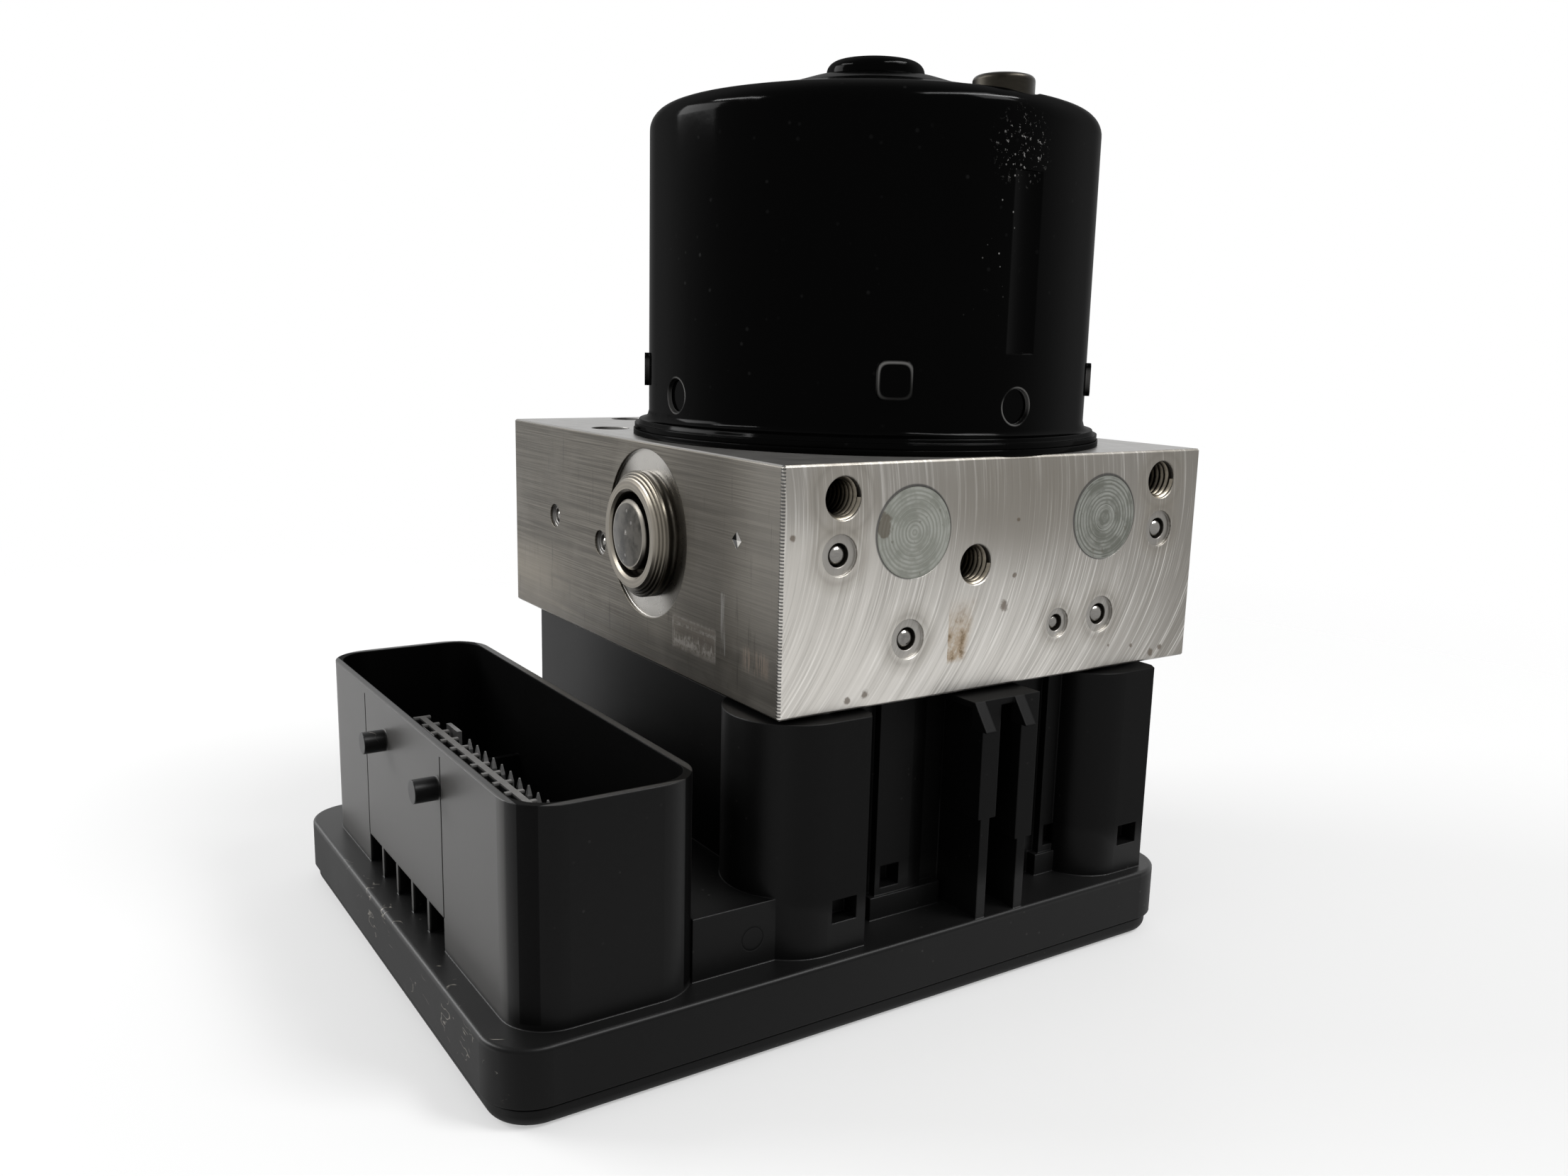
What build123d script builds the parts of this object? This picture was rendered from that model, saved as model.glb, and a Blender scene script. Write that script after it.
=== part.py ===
"""Hydraulic brake modulator: aluminium valve block, pump motor on top, control unit below.

Millimetres, +Z up. The origin is on the standing surface, under the middle of the whole
module. The block's front face looks along -Y and the connector stands at the left, -X.
"""
import os
from math import cos, radians, sin

from build123d import *

# Clearances
slip_gap = 0.05          # a turning or sliding piece in its bore
press_gap = 0.02         # a piece pressed or screwed into its seat
seat_gap = 0.1           # faces that pass close without touching

# Hydraulic block
block_length = 82.0
block_depth = 94.4
block_height = 35.0
block_edge_break = 0.3
block_right_overhang = 4.9    # past the tray at the right
block_back_overhang = 2.1     # past the tray at the back

# Control unit: tray, cover and coil housing
tray_length = 119.4
tray_width = 97.2
tray_height = 8.2
tray_corner = 7.0
tray_wall = 2.4
tray_roof = 2.2
tray_edge_round = 0.6
cover_height = 2.6
cover_inset = 0.7
cover_corner_round = 1.6
seam_height = 0.6
seam_inset = 1.5
seam_rim_width = 2.9           # of the raised rim on the cover, inside the seam
housing_height = 34.6
gasket_thickness = 0.5
hook_proud = 2.3              # the latch hooks stand this far in front of the tray

# Pump motor
motor_from_left = 42.1        # axis, from the block's left face
motor_from_front = 39.6       # axis, from the block's front face
end_plate_proud = 2.6          # past the can's wall
end_plate_thickness = 0.9
flange_thickness = 0.9
bead_proud = 1.9               # past the can's wall
bead_height = 0.7
can_radius = 37.0
can_wall = 1.6
can_straight_height = 49.0
can_shoulder_radius = 3.4
can_end_rise = 3.5            # the end is a shallow cone up to the ring
ring_radius = 17.6
ring_inner_radius = 11.8
ring_step = 1.9
cup_radius = 8.1
cup_height = 3.2
cup_round = 1.8
cup_wall = 1.7
bolt_inset = 6.5               # from the can's wall in to the bolt's axis
bolt_angle = -88.5
bolt_shank_radius = 2.2
bolt_seat_rise = 2.6           # from the end of the can's straight wall up to the pocket's floor
bolt_pocket_radius = 5.3
bolt_head_radius = 4.6
bolt_head_height = 3.1
bolt_head_round = 0.8
bolt_socket_radius = 2.3
bolt_socket_depth = 1.8
bolt_thread_depth = 7.0

# Radial pump, driven by an eccentric on the motor shaft
pump_height = 20.5            # pump axis, above the block's bottom face
chamber_radius = 12.3
chamber_depth = 24.0
bearing_radius = 14.0
bearing_width = 6.0
shaft_radius = 4.0
shaft_main_radius = 5.0
eccentricity = 1.2
eccentric_radius = 6.0
eccentric_bearing_radius = 9.0
eccentric_width = 11.0
spotface_radius = 13.4
spotface_depth = 0.5
collar_bore_radius = 9.0
collar_bore_depth = 12.0
collar_base_radius = 10.0
collar_base_rise = 1.5
collar_rim_radius = 8.5
collar_rise = 3.0
collar_mouth_radius = 6.8
collar_mouth_depth = 5.0
pump_cap_radius = 5.6
pump_cap_crown = 0.6
piston_radius = 4.0
piston_length = 11.5
spring_wire_radius = 0.45
spring_turns = 4

# Low-pressure accumulators, opening in the front face
accumulator_radius = 6.6
accumulator_depth = 25.0
accumulator_places = [(22.4, 24.7), (60.6, 24.8)]
accumulator_cap_thickness = 2.5
accumulator_piston_length = 6.0

# Holes in the front face: from the left edge, above the bottom edge
thread_radius = 3.0
thread_mouth_radius = 3.15
thread_depth = 12.0
thread_drill_radius = 2.5
thread_drill_depth = 14.5
thread_places = [(9.9, 30.2), (34.3, 19.2), (73.2, 30.2)]
plug_ball_radius = 1.7
plug_ring_radius = 2.95
plug_ring_depth = 0.45
plug_depth = 9.0
plug_places = [(9.5, 22.3), (22.0, 9.2), (61.0, 9.1), (73.4, 22.2)]
small_plug_ball_radius = 1.35
small_plug_ring_radius = 2.35
small_plug_place = (51.7, 8.6)

# Left face: drilled passages closed by balls, back from the front edge and above the bottom
side_plug_places = [(-56.4, 16.6), (-75.5, 18.8)]
side_plug_mouth_radius = 2.1
side_plug_mouth_depth = 0.7

# Pipe ports: four in the top face, two in the back face
port_radius = 3.4
port_depth = 10.0
passage_radius = 1.5
passage_depth = 15.0
top_port_places = [(7.2, 67.4), (21.4, 89.0)]
back_port_spacing = 20.0
back_port_height = 20.0

# Screws that clamp the control unit to the block, up through the posts
screw_radius = 2.0
screw_head_radius = 3.6
screw_head_height = 3.0
screw_block_depth = 8.0
screw_tower_wall = 1.8
screw_from_left = [9.3, 67.2]
screw_from_front = [3.6, 88.0]

# Solenoid valves: one row of inlet valves, one of outlet valves
valve_columns = 4
valve_pitch = 17.0
first_valve_from_left = 11.6
inlet_row_from_front = 57.5
outlet_row_from_front = 74.2
valve_body_radius = 4.5
valve_body_depth = 10.0
valve_dome_radius = 3.0
valve_dome_length = 21.0
coil_radius = 8.0
coil_height = 20.0
coil_flange_thickness = 1.4
coil_winding_radius = 7.2
coil_pin_side = 0.8


def on_block(from_left, from_front, above_bottom=0.0):
    """A point given from the block's left, front and bottom faces."""
    return (block_left + from_left, block_front + from_front, block_bottom + above_bottom)


# Motor sizes that follow the can
end_plate_radius = can_radius + end_plate_proud
bead_radius = can_radius + bead_proud
bolt_circle_radius = can_radius - bolt_inset
bolt_seat_height = can_straight_height + bolt_seat_rise

# Places in the module's frame
pump_cap_top = collar_rise + pump_cap_crown
overall_length = tray_length + block_right_overhang + pump_cap_top
overall_width = hook_proud + tray_width + block_back_overhang
tray_left = -overall_length / 2
tray_right = tray_left + tray_length
tray_front = -overall_width / 2 + hook_proud
tray_back = tray_front + tray_width
tray_mid = ((tray_left + tray_right) / 2, (tray_front + tray_back) / 2)
block_right = tray_right + block_right_overhang
block_left = block_right - block_length
block_back = tray_back + block_back_overhang
block_front = block_back - block_depth
block_mid = ((block_left + block_right) / 2, (block_front + block_back) / 2)
tray_bottom = cover_height + seam_height
tray_top = tray_bottom + tray_height
housing_top = tray_top + housing_height
block_bottom = housing_top + gasket_thickness
block_top = block_bottom + block_height
motor_x, motor_y, pump_z = on_block(motor_from_left, motor_from_front, pump_height)

front_face = Plane(origin=(block_left, block_front, block_bottom), x_dir=(1, 0, 0), z_dir=(0, -1, 0))
left_face = Plane(origin=(block_left, block_front, block_bottom), x_dir=(0, -1, 0), z_dir=(-1, 0, 0))
back_face = Plane(origin=(block_mid[0], block_back, block_bottom), x_dir=(-1, 0, 0), z_dir=(0, 1, 0))
pump_sides = {"left": (block_left, -1), "right": (block_right, 1)}
bolt_places = [
    (motor_x + side * bolt_circle_radius * cos(radians(bolt_angle)),
     motor_y + side * bolt_circle_radius * sin(radians(bolt_angle)))
    for side in (1, -1)
]
terminal_from_front = 19.8
terminal_bore_radius = 3.5
terminal_side = 1.0
terminal_offset = 1.6
terminal_place = (motor_x, block_front + terminal_from_front)
valve_xs = [block_left + first_valve_from_left + n * valve_pitch for n in range(valve_columns)]
inlet_y = block_front + inlet_row_from_front
outlet_y = block_front + outlet_row_from_front
valve_places = [(x, y) for y in (inlet_y, outlet_y) for x in valve_xs]
screw_places = [on_block(x, y)[:2] for x in screw_from_left for y in screw_from_front]
screw_head_seat = tray_top + 2.0


def pump_profile(side):
    """Plane of a pump element's section: x is the radius, y points out of the block."""
    face_x, outward = pump_sides[side]
    return Plane(origin=(face_x, motor_y, pump_z), x_dir=(0, -outward, 0), z_dir=(0, 0, 1))


def pump_face(side):
    """The block's side face at the pump axis, looking outward."""
    face_x, outward = pump_sides[side]
    return Plane(origin=(face_x, motor_y, pump_z), x_dir=(0, 1, 0), z_dir=(outward, 0, 0))


def motor_profile(height=0.0):
    """Plane of a motor piece's section: x is the radius, y is up from the block's top."""
    return Plane(origin=(motor_x, motor_y, block_top + height), x_dir=(1, 0, 0), z_dir=(0, -1, 0))


motor_axis = Axis((motor_x, motor_y, block_top), (0, 0, 1))

# Hydraulic block, milled from a drawn aluminium bar
with BuildPart() as hydraulic_block:
    with BuildSketch(Plane.XY.offset(block_bottom)):
        with Locations(block_mid):
            Rectangle(block_length, block_depth)
    extrude(amount=block_height)
    chamfer(hydraulic_block.edges(), block_edge_break)
    with Locations((motor_x, motor_y, block_top)):
        CounterBoreHole(chamber_radius, bearing_radius + press_gap, bearing_width, chamber_depth)
    for side in pump_sides:
        face_x, outward = pump_sides[side]
        with Locations(pump_face(side)):
            Hole(spotface_radius, spotface_depth)
            CounterBoreHole(
                piston_radius + slip_gap,
                collar_bore_radius,
                collar_bore_depth,
                abs(face_x - motor_x),
            )
    with Locations(front_face):
        with Locations(*accumulator_places):
            Hole(accumulator_radius + slip_gap, accumulator_depth)
        with Locations(*thread_places):
            CounterSinkHole(thread_radius, thread_mouth_radius, thread_depth)
            Hole(thread_drill_radius, thread_drill_depth)
        with Locations(*plug_places):
            CounterBoreHole(plug_ball_radius + press_gap, plug_ring_radius, plug_ring_depth, plug_depth)
        with Locations(small_plug_place):
            CounterBoreHole(
                small_plug_ball_radius + press_gap, small_plug_ring_radius, plug_ring_depth, plug_depth
            )
    with Locations(left_face):
        with Locations(*side_plug_places):
            CounterBoreHole(
                small_plug_ball_radius + press_gap,
                side_plug_mouth_radius,
                side_plug_mouth_depth,
                plug_depth,
            )
    with Locations(back_face):
        with Locations((-back_port_spacing / 2, back_port_height), (back_port_spacing / 2, back_port_height)):
            CounterBoreHole(passage_radius, port_radius, port_depth, passage_depth)
    for from_left, from_front in top_port_places:
        with Locations(
            on_block(from_left, from_front, block_height),
            on_block(2 * motor_from_left - from_left, from_front, block_height),
        ):
            CounterBoreHole(passage_radius, port_radius, port_depth, passage_depth)
    with Locations(*[(x, y, block_top) for x, y in bolt_places]):
        Hole(bolt_shank_radius + press_gap, bolt_thread_depth + 1.0)
    with Locations((*terminal_place, block_top)):
        Hole(terminal_bore_radius, block_height)
    with BuildSketch(Plane.XY.offset(block_bottom)):
        with Locations(*valve_places):
            Circle(valve_body_radius + press_gap)
    extrude(amount=valve_body_depth, mode=Mode.SUBTRACT)
    with BuildSketch(Plane.XY.offset(block_bottom)):
        with Locations(*screw_places):
            Circle(screw_radius + press_gap)
    extrude(amount=screw_block_depth + 1.0, mode=Mode.SUBTRACT)
hydraulic_block.part.label = "hydraulic_block"

# Balls that close the cross drillings, sunk a little below their staked rings
ball_sink = 1.9
with BuildPart() as ball_plugs:
    with Locations(front_face.offset(-ball_sink)):
        with Locations(*plug_places):
            Sphere(plug_ball_radius)
        with Locations(small_plug_place):
            Sphere(small_plug_ball_radius)
    with Locations(left_face.offset(-ball_sink)):
        with Locations(*side_plug_places):
            Sphere(small_plug_ball_radius)
ball_plugs.part.label = "ball_plugs"

# Accumulators: a turned cap in the front face, a piston at the bore's end, a spring between
accumulator_groove = 0.8
with BuildPart() as accumulator_caps:
    with BuildSketch(front_face):
        with Locations(*accumulator_places):
            Circle(accumulator_radius)
    extrude(amount=-accumulator_cap_thickness)
    with BuildSketch(front_face.offset(-accumulator_cap_thickness)):
        with Locations(*accumulator_places):
            Circle(accumulator_radius - accumulator_groove)
            Circle(accumulator_radius - 2 * accumulator_groove, mode=Mode.SUBTRACT)
    extrude(amount=accumulator_groove, mode=Mode.SUBTRACT)
accumulator_caps.part.label = "accumulator_caps"

accumulator_pistons = []
accumulator_springs = []
accumulator_cup_depth = 4.0
accumulator_cup_wall = 1.6
accumulator_spring_radius = 4.2
piston_front = accumulator_depth - seat_gap - accumulator_piston_length
spring_room = piston_front + accumulator_cup_depth - accumulator_cap_thickness
for side, (from_left, above_bottom) in zip(pump_sides, accumulator_places):
    seat = Plane(
        origin=on_block(from_left, piston_front, above_bottom), x_dir=(1, 0, 0), z_dir=(0, 1, 0)
    )
    with BuildPart() as accumulator_piston:
        with BuildSketch(seat):
            Circle(accumulator_radius)
        extrude(amount=accumulator_piston_length)
        with BuildSketch(seat):
            Circle(accumulator_radius - accumulator_cup_wall)
        extrude(amount=accumulator_cup_depth, mode=Mode.SUBTRACT)
    accumulator_piston.part.label = "accumulator_piston_" + side
    accumulator_pistons.append(accumulator_piston.part)

    coil_length = spring_room - 2 * seat_gap - 2 * spring_wire_radius
    start = on_block(from_left, accumulator_cap_thickness + seat_gap + spring_wire_radius, above_bottom)
    with BuildPart() as accumulator_spring:
        with BuildLine():
            coil = Helix(
                coil_length / spring_turns,
                coil_length,
                accumulator_spring_radius,
                center=start,
                direction=(0, 1, 0),
            )
        with BuildSketch(Plane(origin=coil @ 0, z_dir=coil % 0)):
            RegularPolygon(spring_wire_radius, 6)
        sweep(is_frenet=True)
    accumulator_spring.part.label = "accumulator_spring_" + side
    accumulator_springs.append(accumulator_spring.part)

# Pump elements, one each side of the eccentric
pump_pieces = []
collar_thread_length = collar_bore_depth - seat_gap
collar_floor = collar_mouth_depth - collar_rise
piston_face = eccentric_bearing_radius + eccentricity + seat_gap
crown_radius = pump_cap_radius - 0.4
crown_edge = 0.15              # the crown's rim stands this far out of the collar
crown_height = pump_cap_crown - crown_edge
crown_sphere = -(crown_radius**2 + crown_height**2) / (2 * crown_height)
for side, (face_x, outward) in pump_sides.items():
    profile = pump_profile(side)
    pump_axis = Axis(profile.origin, profile.y_dir)
    with BuildPart() as pump_collar:
        with BuildSketch(profile):
            with BuildLine():
                Polyline(
                    (piston_radius, -collar_thread_length),
                    (collar_bore_radius - press_gap, -collar_thread_length),
                    (collar_bore_radius - press_gap, -spotface_depth),
                    (collar_base_radius, -spotface_depth),
                    (collar_base_radius, collar_base_rise),
                    (collar_base_radius - 0.3, collar_base_rise + 0.2),
                    (collar_rim_radius + 0.2, collar_rise - 0.3),
                    (collar_rim_radius - 0.1, collar_rise),
                    (collar_mouth_radius + 0.4, collar_rise),
                    (collar_mouth_radius, collar_rise - 0.4),
                    (collar_mouth_radius, -collar_floor),
                    (piston_radius, -collar_floor),
                    close=True,
                )
            make_face()
        revolve(axis=pump_axis)
    pump_collar.part.label = "pump_collar_" + side
    pump_pieces.append(pump_collar.part)

    with BuildPart() as pump_cap:
        with BuildSketch(profile):
            with BuildLine():
                Polyline(
                    (0, pump_cap_top),
                    (0, -collar_floor),
                    (collar_mouth_radius - press_gap, -collar_floor),
                    (collar_mouth_radius - press_gap, -collar_floor + 1.6),
                    (pump_cap_radius, -collar_floor + 2.2),
                    (pump_cap_radius, collar_rise - 0.25),
                    (crown_radius, collar_rise + crown_edge),
                )
                RadiusArc((crown_radius, collar_rise + crown_edge), (0, pump_cap_top), crown_sphere)
            make_face()
        revolve(axis=pump_axis)
    pump_cap.part.label = "pump_cap_" + side
    pump_pieces.append(pump_cap.part)

    with BuildPart() as pump_piston:
        start = motor_x + outward * piston_face
        with BuildSketch(Plane(origin=(start, motor_y, pump_z), x_dir=(0, 1, 0), z_dir=(outward, 0, 0))):
            Circle(piston_radius)
        extrude(amount=piston_length)
        chamfer(pump_piston.edges(), 0.3)
    pump_piston.part.label = "pump_piston_" + side
    pump_pieces.append(pump_piston.part)

    spring_start = start + outward * (piston_length + seat_gap + spring_wire_radius)
    spring_end = face_x - outward * (collar_thread_length + seat_gap + spring_wire_radius)
    spring_length = abs(spring_end - spring_start)
    with BuildPart() as pump_spring:
        with BuildLine():
            coil = Helix(
                spring_length / spring_turns,
                spring_length,
                piston_radius - 4 * spring_wire_radius / 3,
                center=(spring_start, motor_y, pump_z),
                direction=(outward, 0, 0),
            )
        with BuildSketch(Plane(origin=coil @ 0, z_dir=coil % 0)):
            RegularPolygon(spring_wire_radius, 6)
        sweep(is_frenet=True)
    pump_spring.part.label = "pump_spring_" + side
    pump_pieces.append(pump_spring.part)

# Motor end plate
plate_bore_gap = 3.0
plate_bore = shaft_main_radius + plate_bore_gap
with BuildPart() as motor_end_plate:
    with BuildSketch(Plane.XY.offset(block_top)):
        with Locations((motor_x, motor_y)):
            Circle(end_plate_radius)
            Circle(plate_bore, mode=Mode.SUBTRACT)
        with Locations(*bolt_places):
            Circle(bolt_shank_radius + press_gap, mode=Mode.SUBTRACT)
        with Locations(terminal_place):
            Circle(terminal_bore_radius, mode=Mode.SUBTRACT)
    extrude(amount=end_plate_thickness)
motor_end_plate.part.label = "motor_end_plate"

# Motor can: deep drawn, with a foot flange, a coned end, bolt pockets and a bearing cup
can_top = can_straight_height + can_shoulder_radius
end_top = can_top + can_end_rise
ring_top = end_top + ring_step
cup_top = ring_top + cup_height
flange_bottom = end_plate_thickness
flange_top = flange_bottom + flange_thickness
foot_radius = 1.4
inner_radius = can_radius - can_wall
tab_angles = [-120.0, -42.0, 60.0, 152.0]
tab_width = 5.1
tab_height = 5.4
tab_proud = 0.7
tab_above_block = 10.7
dimple_angles = [-179.7, -88.8, 0.3, 91.2]
dimple_radius = 2.7
dimple_depth = 0.7
dimple_above_block = 7.1
flute_radius = 9.0
flute_depth = 0.55
flute_bottom = 14.8
flute_top = 41.0


def around_can(angle, radius, height):
    """Plane that faces outward from the can's wall at an angle about the motor axis."""
    out_x, out_y = cos(radians(angle)), sin(radians(angle))
    return Plane(
        origin=(motor_x + radius * out_x, motor_y + radius * out_y, block_top + height),
        x_dir=(-out_y, out_x, 0),
        z_dir=(out_x, out_y, 0),
    )


with BuildPart() as can_room:
    with BuildSketch(motor_profile()):
        with BuildLine():
            Polyline(
                (0, flange_bottom),
                (inner_radius, flange_bottom),
                (inner_radius, can_straight_height),
                (can_radius - can_shoulder_radius, can_top - can_wall),
                (ring_radius, end_top - can_wall),
                (ring_inner_radius, ring_top - can_wall),
                (cup_radius - cup_wall, ring_top - can_wall),
                (cup_radius - cup_wall, cup_top - cup_wall),
                (0, cup_top - cup_wall),
                close=True,
            )
        make_face()
    revolve(axis=motor_axis)
    with BuildSketch(Plane.XY.offset(block_top + bolt_seat_height - can_wall)):
        with Locations(*bolt_places):
            Circle(bolt_pocket_radius + can_wall)
    extrude(amount=can_end_rise, mode=Mode.SUBTRACT)

with BuildPart() as motor_can:
    with BuildSketch(motor_profile()):
        with BuildLine():
            Line((0, flange_bottom), (end_plate_radius - 0.2, flange_bottom))
            Line((end_plate_radius - 0.2, flange_bottom), (end_plate_radius - 0.2, flange_top))
            Line((end_plate_radius - 0.2, flange_top), (bead_radius, flange_top))
            Line((bead_radius, flange_top), (bead_radius - 0.3, flange_top + bead_height))
            Line(
                (bead_radius - 0.3, flange_top + bead_height),
                (can_radius + foot_radius, flange_top + bead_height),
            )
            foot_end = flange_top + bead_height + foot_radius
            RadiusArc(
                (can_radius + foot_radius, flange_top + bead_height), (can_radius, foot_end), foot_radius
            )
            Line((can_radius, foot_end), (can_radius, can_straight_height))
            RadiusArc(
                (can_radius, can_straight_height),
                (can_radius - can_shoulder_radius, can_top),
                -can_shoulder_radius,
            )
            Line((can_radius - can_shoulder_radius, can_top), (ring_radius, end_top))
            Line((ring_radius, end_top), (ring_inner_radius, ring_top))
            Line((ring_inner_radius, ring_top), (cup_radius, ring_top))
            Line((cup_radius, ring_top), (cup_radius, cup_top - cup_round))
            RadiusArc((cup_radius, cup_top - cup_round), (cup_radius - cup_round, cup_top), -cup_round)
            Line((cup_radius - cup_round, cup_top), (0, cup_top))
            Line((0, cup_top), (0, flange_bottom))
        make_face()
    revolve(axis=motor_axis)
    for angle in tab_angles:
        with BuildSketch(around_can(angle, can_radius - can_wall / 2, tab_above_block)):
            RectangleRounded(tab_width, tab_height, 0.8)
        extrude(amount=can_wall / 2 + tab_proud)
    for angle in dimple_angles:
        with BuildSketch(around_can(angle, can_radius + 1.0, dimple_above_block)):
            Circle(dimple_radius)
        extrude(amount=-1.0 - dimple_depth, mode=Mode.SUBTRACT)
    for angle in (bolt_angle, bolt_angle + 180):
        flute_centre = around_can(angle, can_radius + flute_radius - flute_depth, 0).origin
        with BuildSketch(Plane.XY.offset(block_top + flute_bottom)):
            with Locations((flute_centre.X, flute_centre.Y)):
                Circle(flute_radius)
        extrude(amount=flute_top - flute_bottom, mode=Mode.SUBTRACT)
    add(can_room.part, mode=Mode.SUBTRACT)
    with BuildSketch(Plane.XY.offset(block_top + bolt_seat_height)):
        with Locations(*bolt_places):
            Circle(bolt_pocket_radius)
    extrude(amount=can_end_rise, mode=Mode.SUBTRACT)
    with BuildSketch(Plane.XY.offset(block_top + can_straight_height)):
        with Locations(*bolt_places):
            Circle(bolt_shank_radius + press_gap)
    extrude(amount=bolt_seat_height - can_straight_height, mode=Mode.SUBTRACT)
motor_can.part.label = "motor_can"

# Two long bolts clamp the can through the end plate to the block
with BuildPart() as motor_bolts:
    with BuildSketch(Plane.XY.offset(block_top + bolt_seat_height)):
        with Locations(*bolt_places):
            Circle(bolt_head_radius)
    extrude(amount=bolt_head_height)
    fillet(motor_bolts.edges().group_by(Axis.Z)[-1], bolt_head_round)
    with BuildSketch(Plane.XY.offset(block_top + bolt_seat_height + bolt_head_height)):
        with Locations(*bolt_places):
            RegularPolygon(bolt_socket_radius, 6)
    extrude(amount=-bolt_socket_depth, mode=Mode.SUBTRACT)
    with BuildSketch(Plane.XY.offset(block_top - bolt_thread_depth)):
        with Locations(*bolt_places):
            Circle(bolt_shank_radius)
    extrude(amount=bolt_thread_depth + bolt_seat_height)
motor_bolts.part.label = "motor_bolts"

# Inside the motor
magnet_thickness = 7.5
magnet_gap = 0.8
core_radius = inner_radius - seat_gap - magnet_thickness - magnet_gap
magnet_bottom = 13.0
magnet_top = 43.0
magnet_span = 112.0
core_bottom = 16.0
core_top = 40.0
slot_count = 10
slot_width = 5.0
slot_depth = 9.0
commutator_radius = 9.5
commutator_bottom = 3.2
commutator_top = 11.0
brush_plate_bottom = 1.2
brush_plate_thickness = 2.0
brush_plate_gap = 2.5
bearing_race_width = 3.0
bearing_groove_depth = 0.8
bearing_groove_bevel = 0.4
brush_length = 12.0
brush_width = 5.0
brush_height = 5.0

with BuildPart() as magnets:
    with BuildSketch(Plane.XY.offset(block_top + magnet_bottom)):
        with Locations((motor_x, motor_y)):
            Circle(inner_radius - seat_gap)
            Circle(core_radius + magnet_gap, mode=Mode.SUBTRACT)
            for angle in (90, 270):
                wedge_half = radians((180 - magnet_span) / 2)
                reach = 2 * can_radius
                with BuildLine():
                    Polyline(
                        (motor_x, motor_y),
                        (motor_x + reach * cos(radians(angle) - wedge_half),
                         motor_y + reach * sin(radians(angle) - wedge_half)),
                        (motor_x + reach * cos(radians(angle) + wedge_half),
                         motor_y + reach * sin(radians(angle) + wedge_half)),
                        close=True,
                    )
                make_face(mode=Mode.SUBTRACT)
    extrude(amount=magnet_top - magnet_bottom)
magnets.part.label = "magnets"

with BuildPart() as brush_plate:
    with BuildSketch(Plane.XY.offset(block_top + brush_plate_bottom)):
        with Locations((motor_x, motor_y)):
            Circle(inner_radius - seat_gap)
            Circle(commutator_radius + brush_plate_gap, mode=Mode.SUBTRACT)
        with Locations(*bolt_places):
            Circle(bolt_shank_radius + 0.6, mode=Mode.SUBTRACT)
        with Locations(terminal_place):
            Circle(terminal_bore_radius - 1.0, mode=Mode.SUBTRACT)
    extrude(amount=brush_plate_thickness)
brush_plate.part.label = "brush_plate"

brush_seat = brush_plate_bottom + brush_plate_thickness
brush_middle = commutator_radius + seat_gap + brush_length / 2
with BuildPart() as brushes:
    with BuildSketch(Plane.XY.offset(block_top + brush_seat)):
        with Locations((motor_x, motor_y)):
            with Locations((-brush_middle, 0), (brush_middle, 0)):
                Rectangle(brush_length, brush_width)
    extrude(amount=brush_height)
brushes.part.label = "brushes"

with BuildPart() as main_bearing:
    with BuildSketch(motor_profile()):
        with BuildLine():
            Polyline(
                (shaft_main_radius + slip_gap, -bearing_width),
                (bearing_radius, -bearing_width),
                (bearing_radius, 0),
                (bearing_radius - bearing_race_width, 0),
                (bearing_radius - bearing_race_width - bearing_groove_bevel, -bearing_groove_depth),
                (shaft_main_radius + bearing_race_width, -bearing_groove_depth),
                (shaft_main_radius + bearing_race_width - bearing_groove_bevel, 0),
                (shaft_main_radius + slip_gap, 0),
                close=True,
            )
        make_face()
    revolve(axis=motor_axis)
main_bearing.part.label = "main_bearing"

with BuildPart() as top_bearing:
    with BuildSketch(Plane.XY.offset(block_top + ring_top - can_wall)):
        with Locations((motor_x, motor_y)):
            Circle(cup_radius - cup_wall - press_gap)
            Circle(shaft_radius + slip_gap, mode=Mode.SUBTRACT)
    extrude(amount=cup_height + can_wall - cup_wall - 0.5)
top_bearing.part.label = "top_bearing"

# Rotor: shaft with an eccentric journal, its bearing ring, core, winding and commutator
eccentric_middle = pump_z - block_top
shaft_bottom = eccentric_middle - eccentric_width / 2 - 1.2
eccentric_place = (motor_x, motor_y + eccentricity)
shaft_top = cup_top - cup_wall - 1.2
with BuildPart() as motor_shaft:
    with BuildSketch(Plane.XY.offset(block_top + shaft_bottom)):
        with Locations(eccentric_place):
            Circle(eccentric_radius)
    extrude(amount=eccentric_width + 1.2)
    with BuildSketch(Plane.XY.offset(block_top + eccentric_middle + eccentric_width / 2)):
        with Locations((motor_x, motor_y)):
            Circle(shaft_main_radius)
    extrude(amount=commutator_bottom - eccentric_middle - eccentric_width / 2)
    with BuildSketch(Plane.XY.offset(block_top + commutator_bottom)):
        with Locations((motor_x, motor_y)):
            Circle(shaft_radius)
    extrude(amount=shaft_top - commutator_bottom)
motor_shaft.part.label = "motor_shaft"

with BuildPart() as eccentric_bearing:
    with BuildSketch(Plane.XY.offset(block_top + eccentric_middle - eccentric_width / 2)):
        with Locations(eccentric_place):
            Circle(eccentric_bearing_radius)
            Circle(eccentric_radius + press_gap, mode=Mode.SUBTRACT)
    extrude(amount=eccentric_width - 0.4)
    rims = eccentric_bearing.edges().filter_by(GeomType.CIRCLE)
    chamfer(rims.group_by(SortBy.RADIUS)[-1], 0.4)
eccentric_bearing.part.label = "eccentric_bearing"

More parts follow.
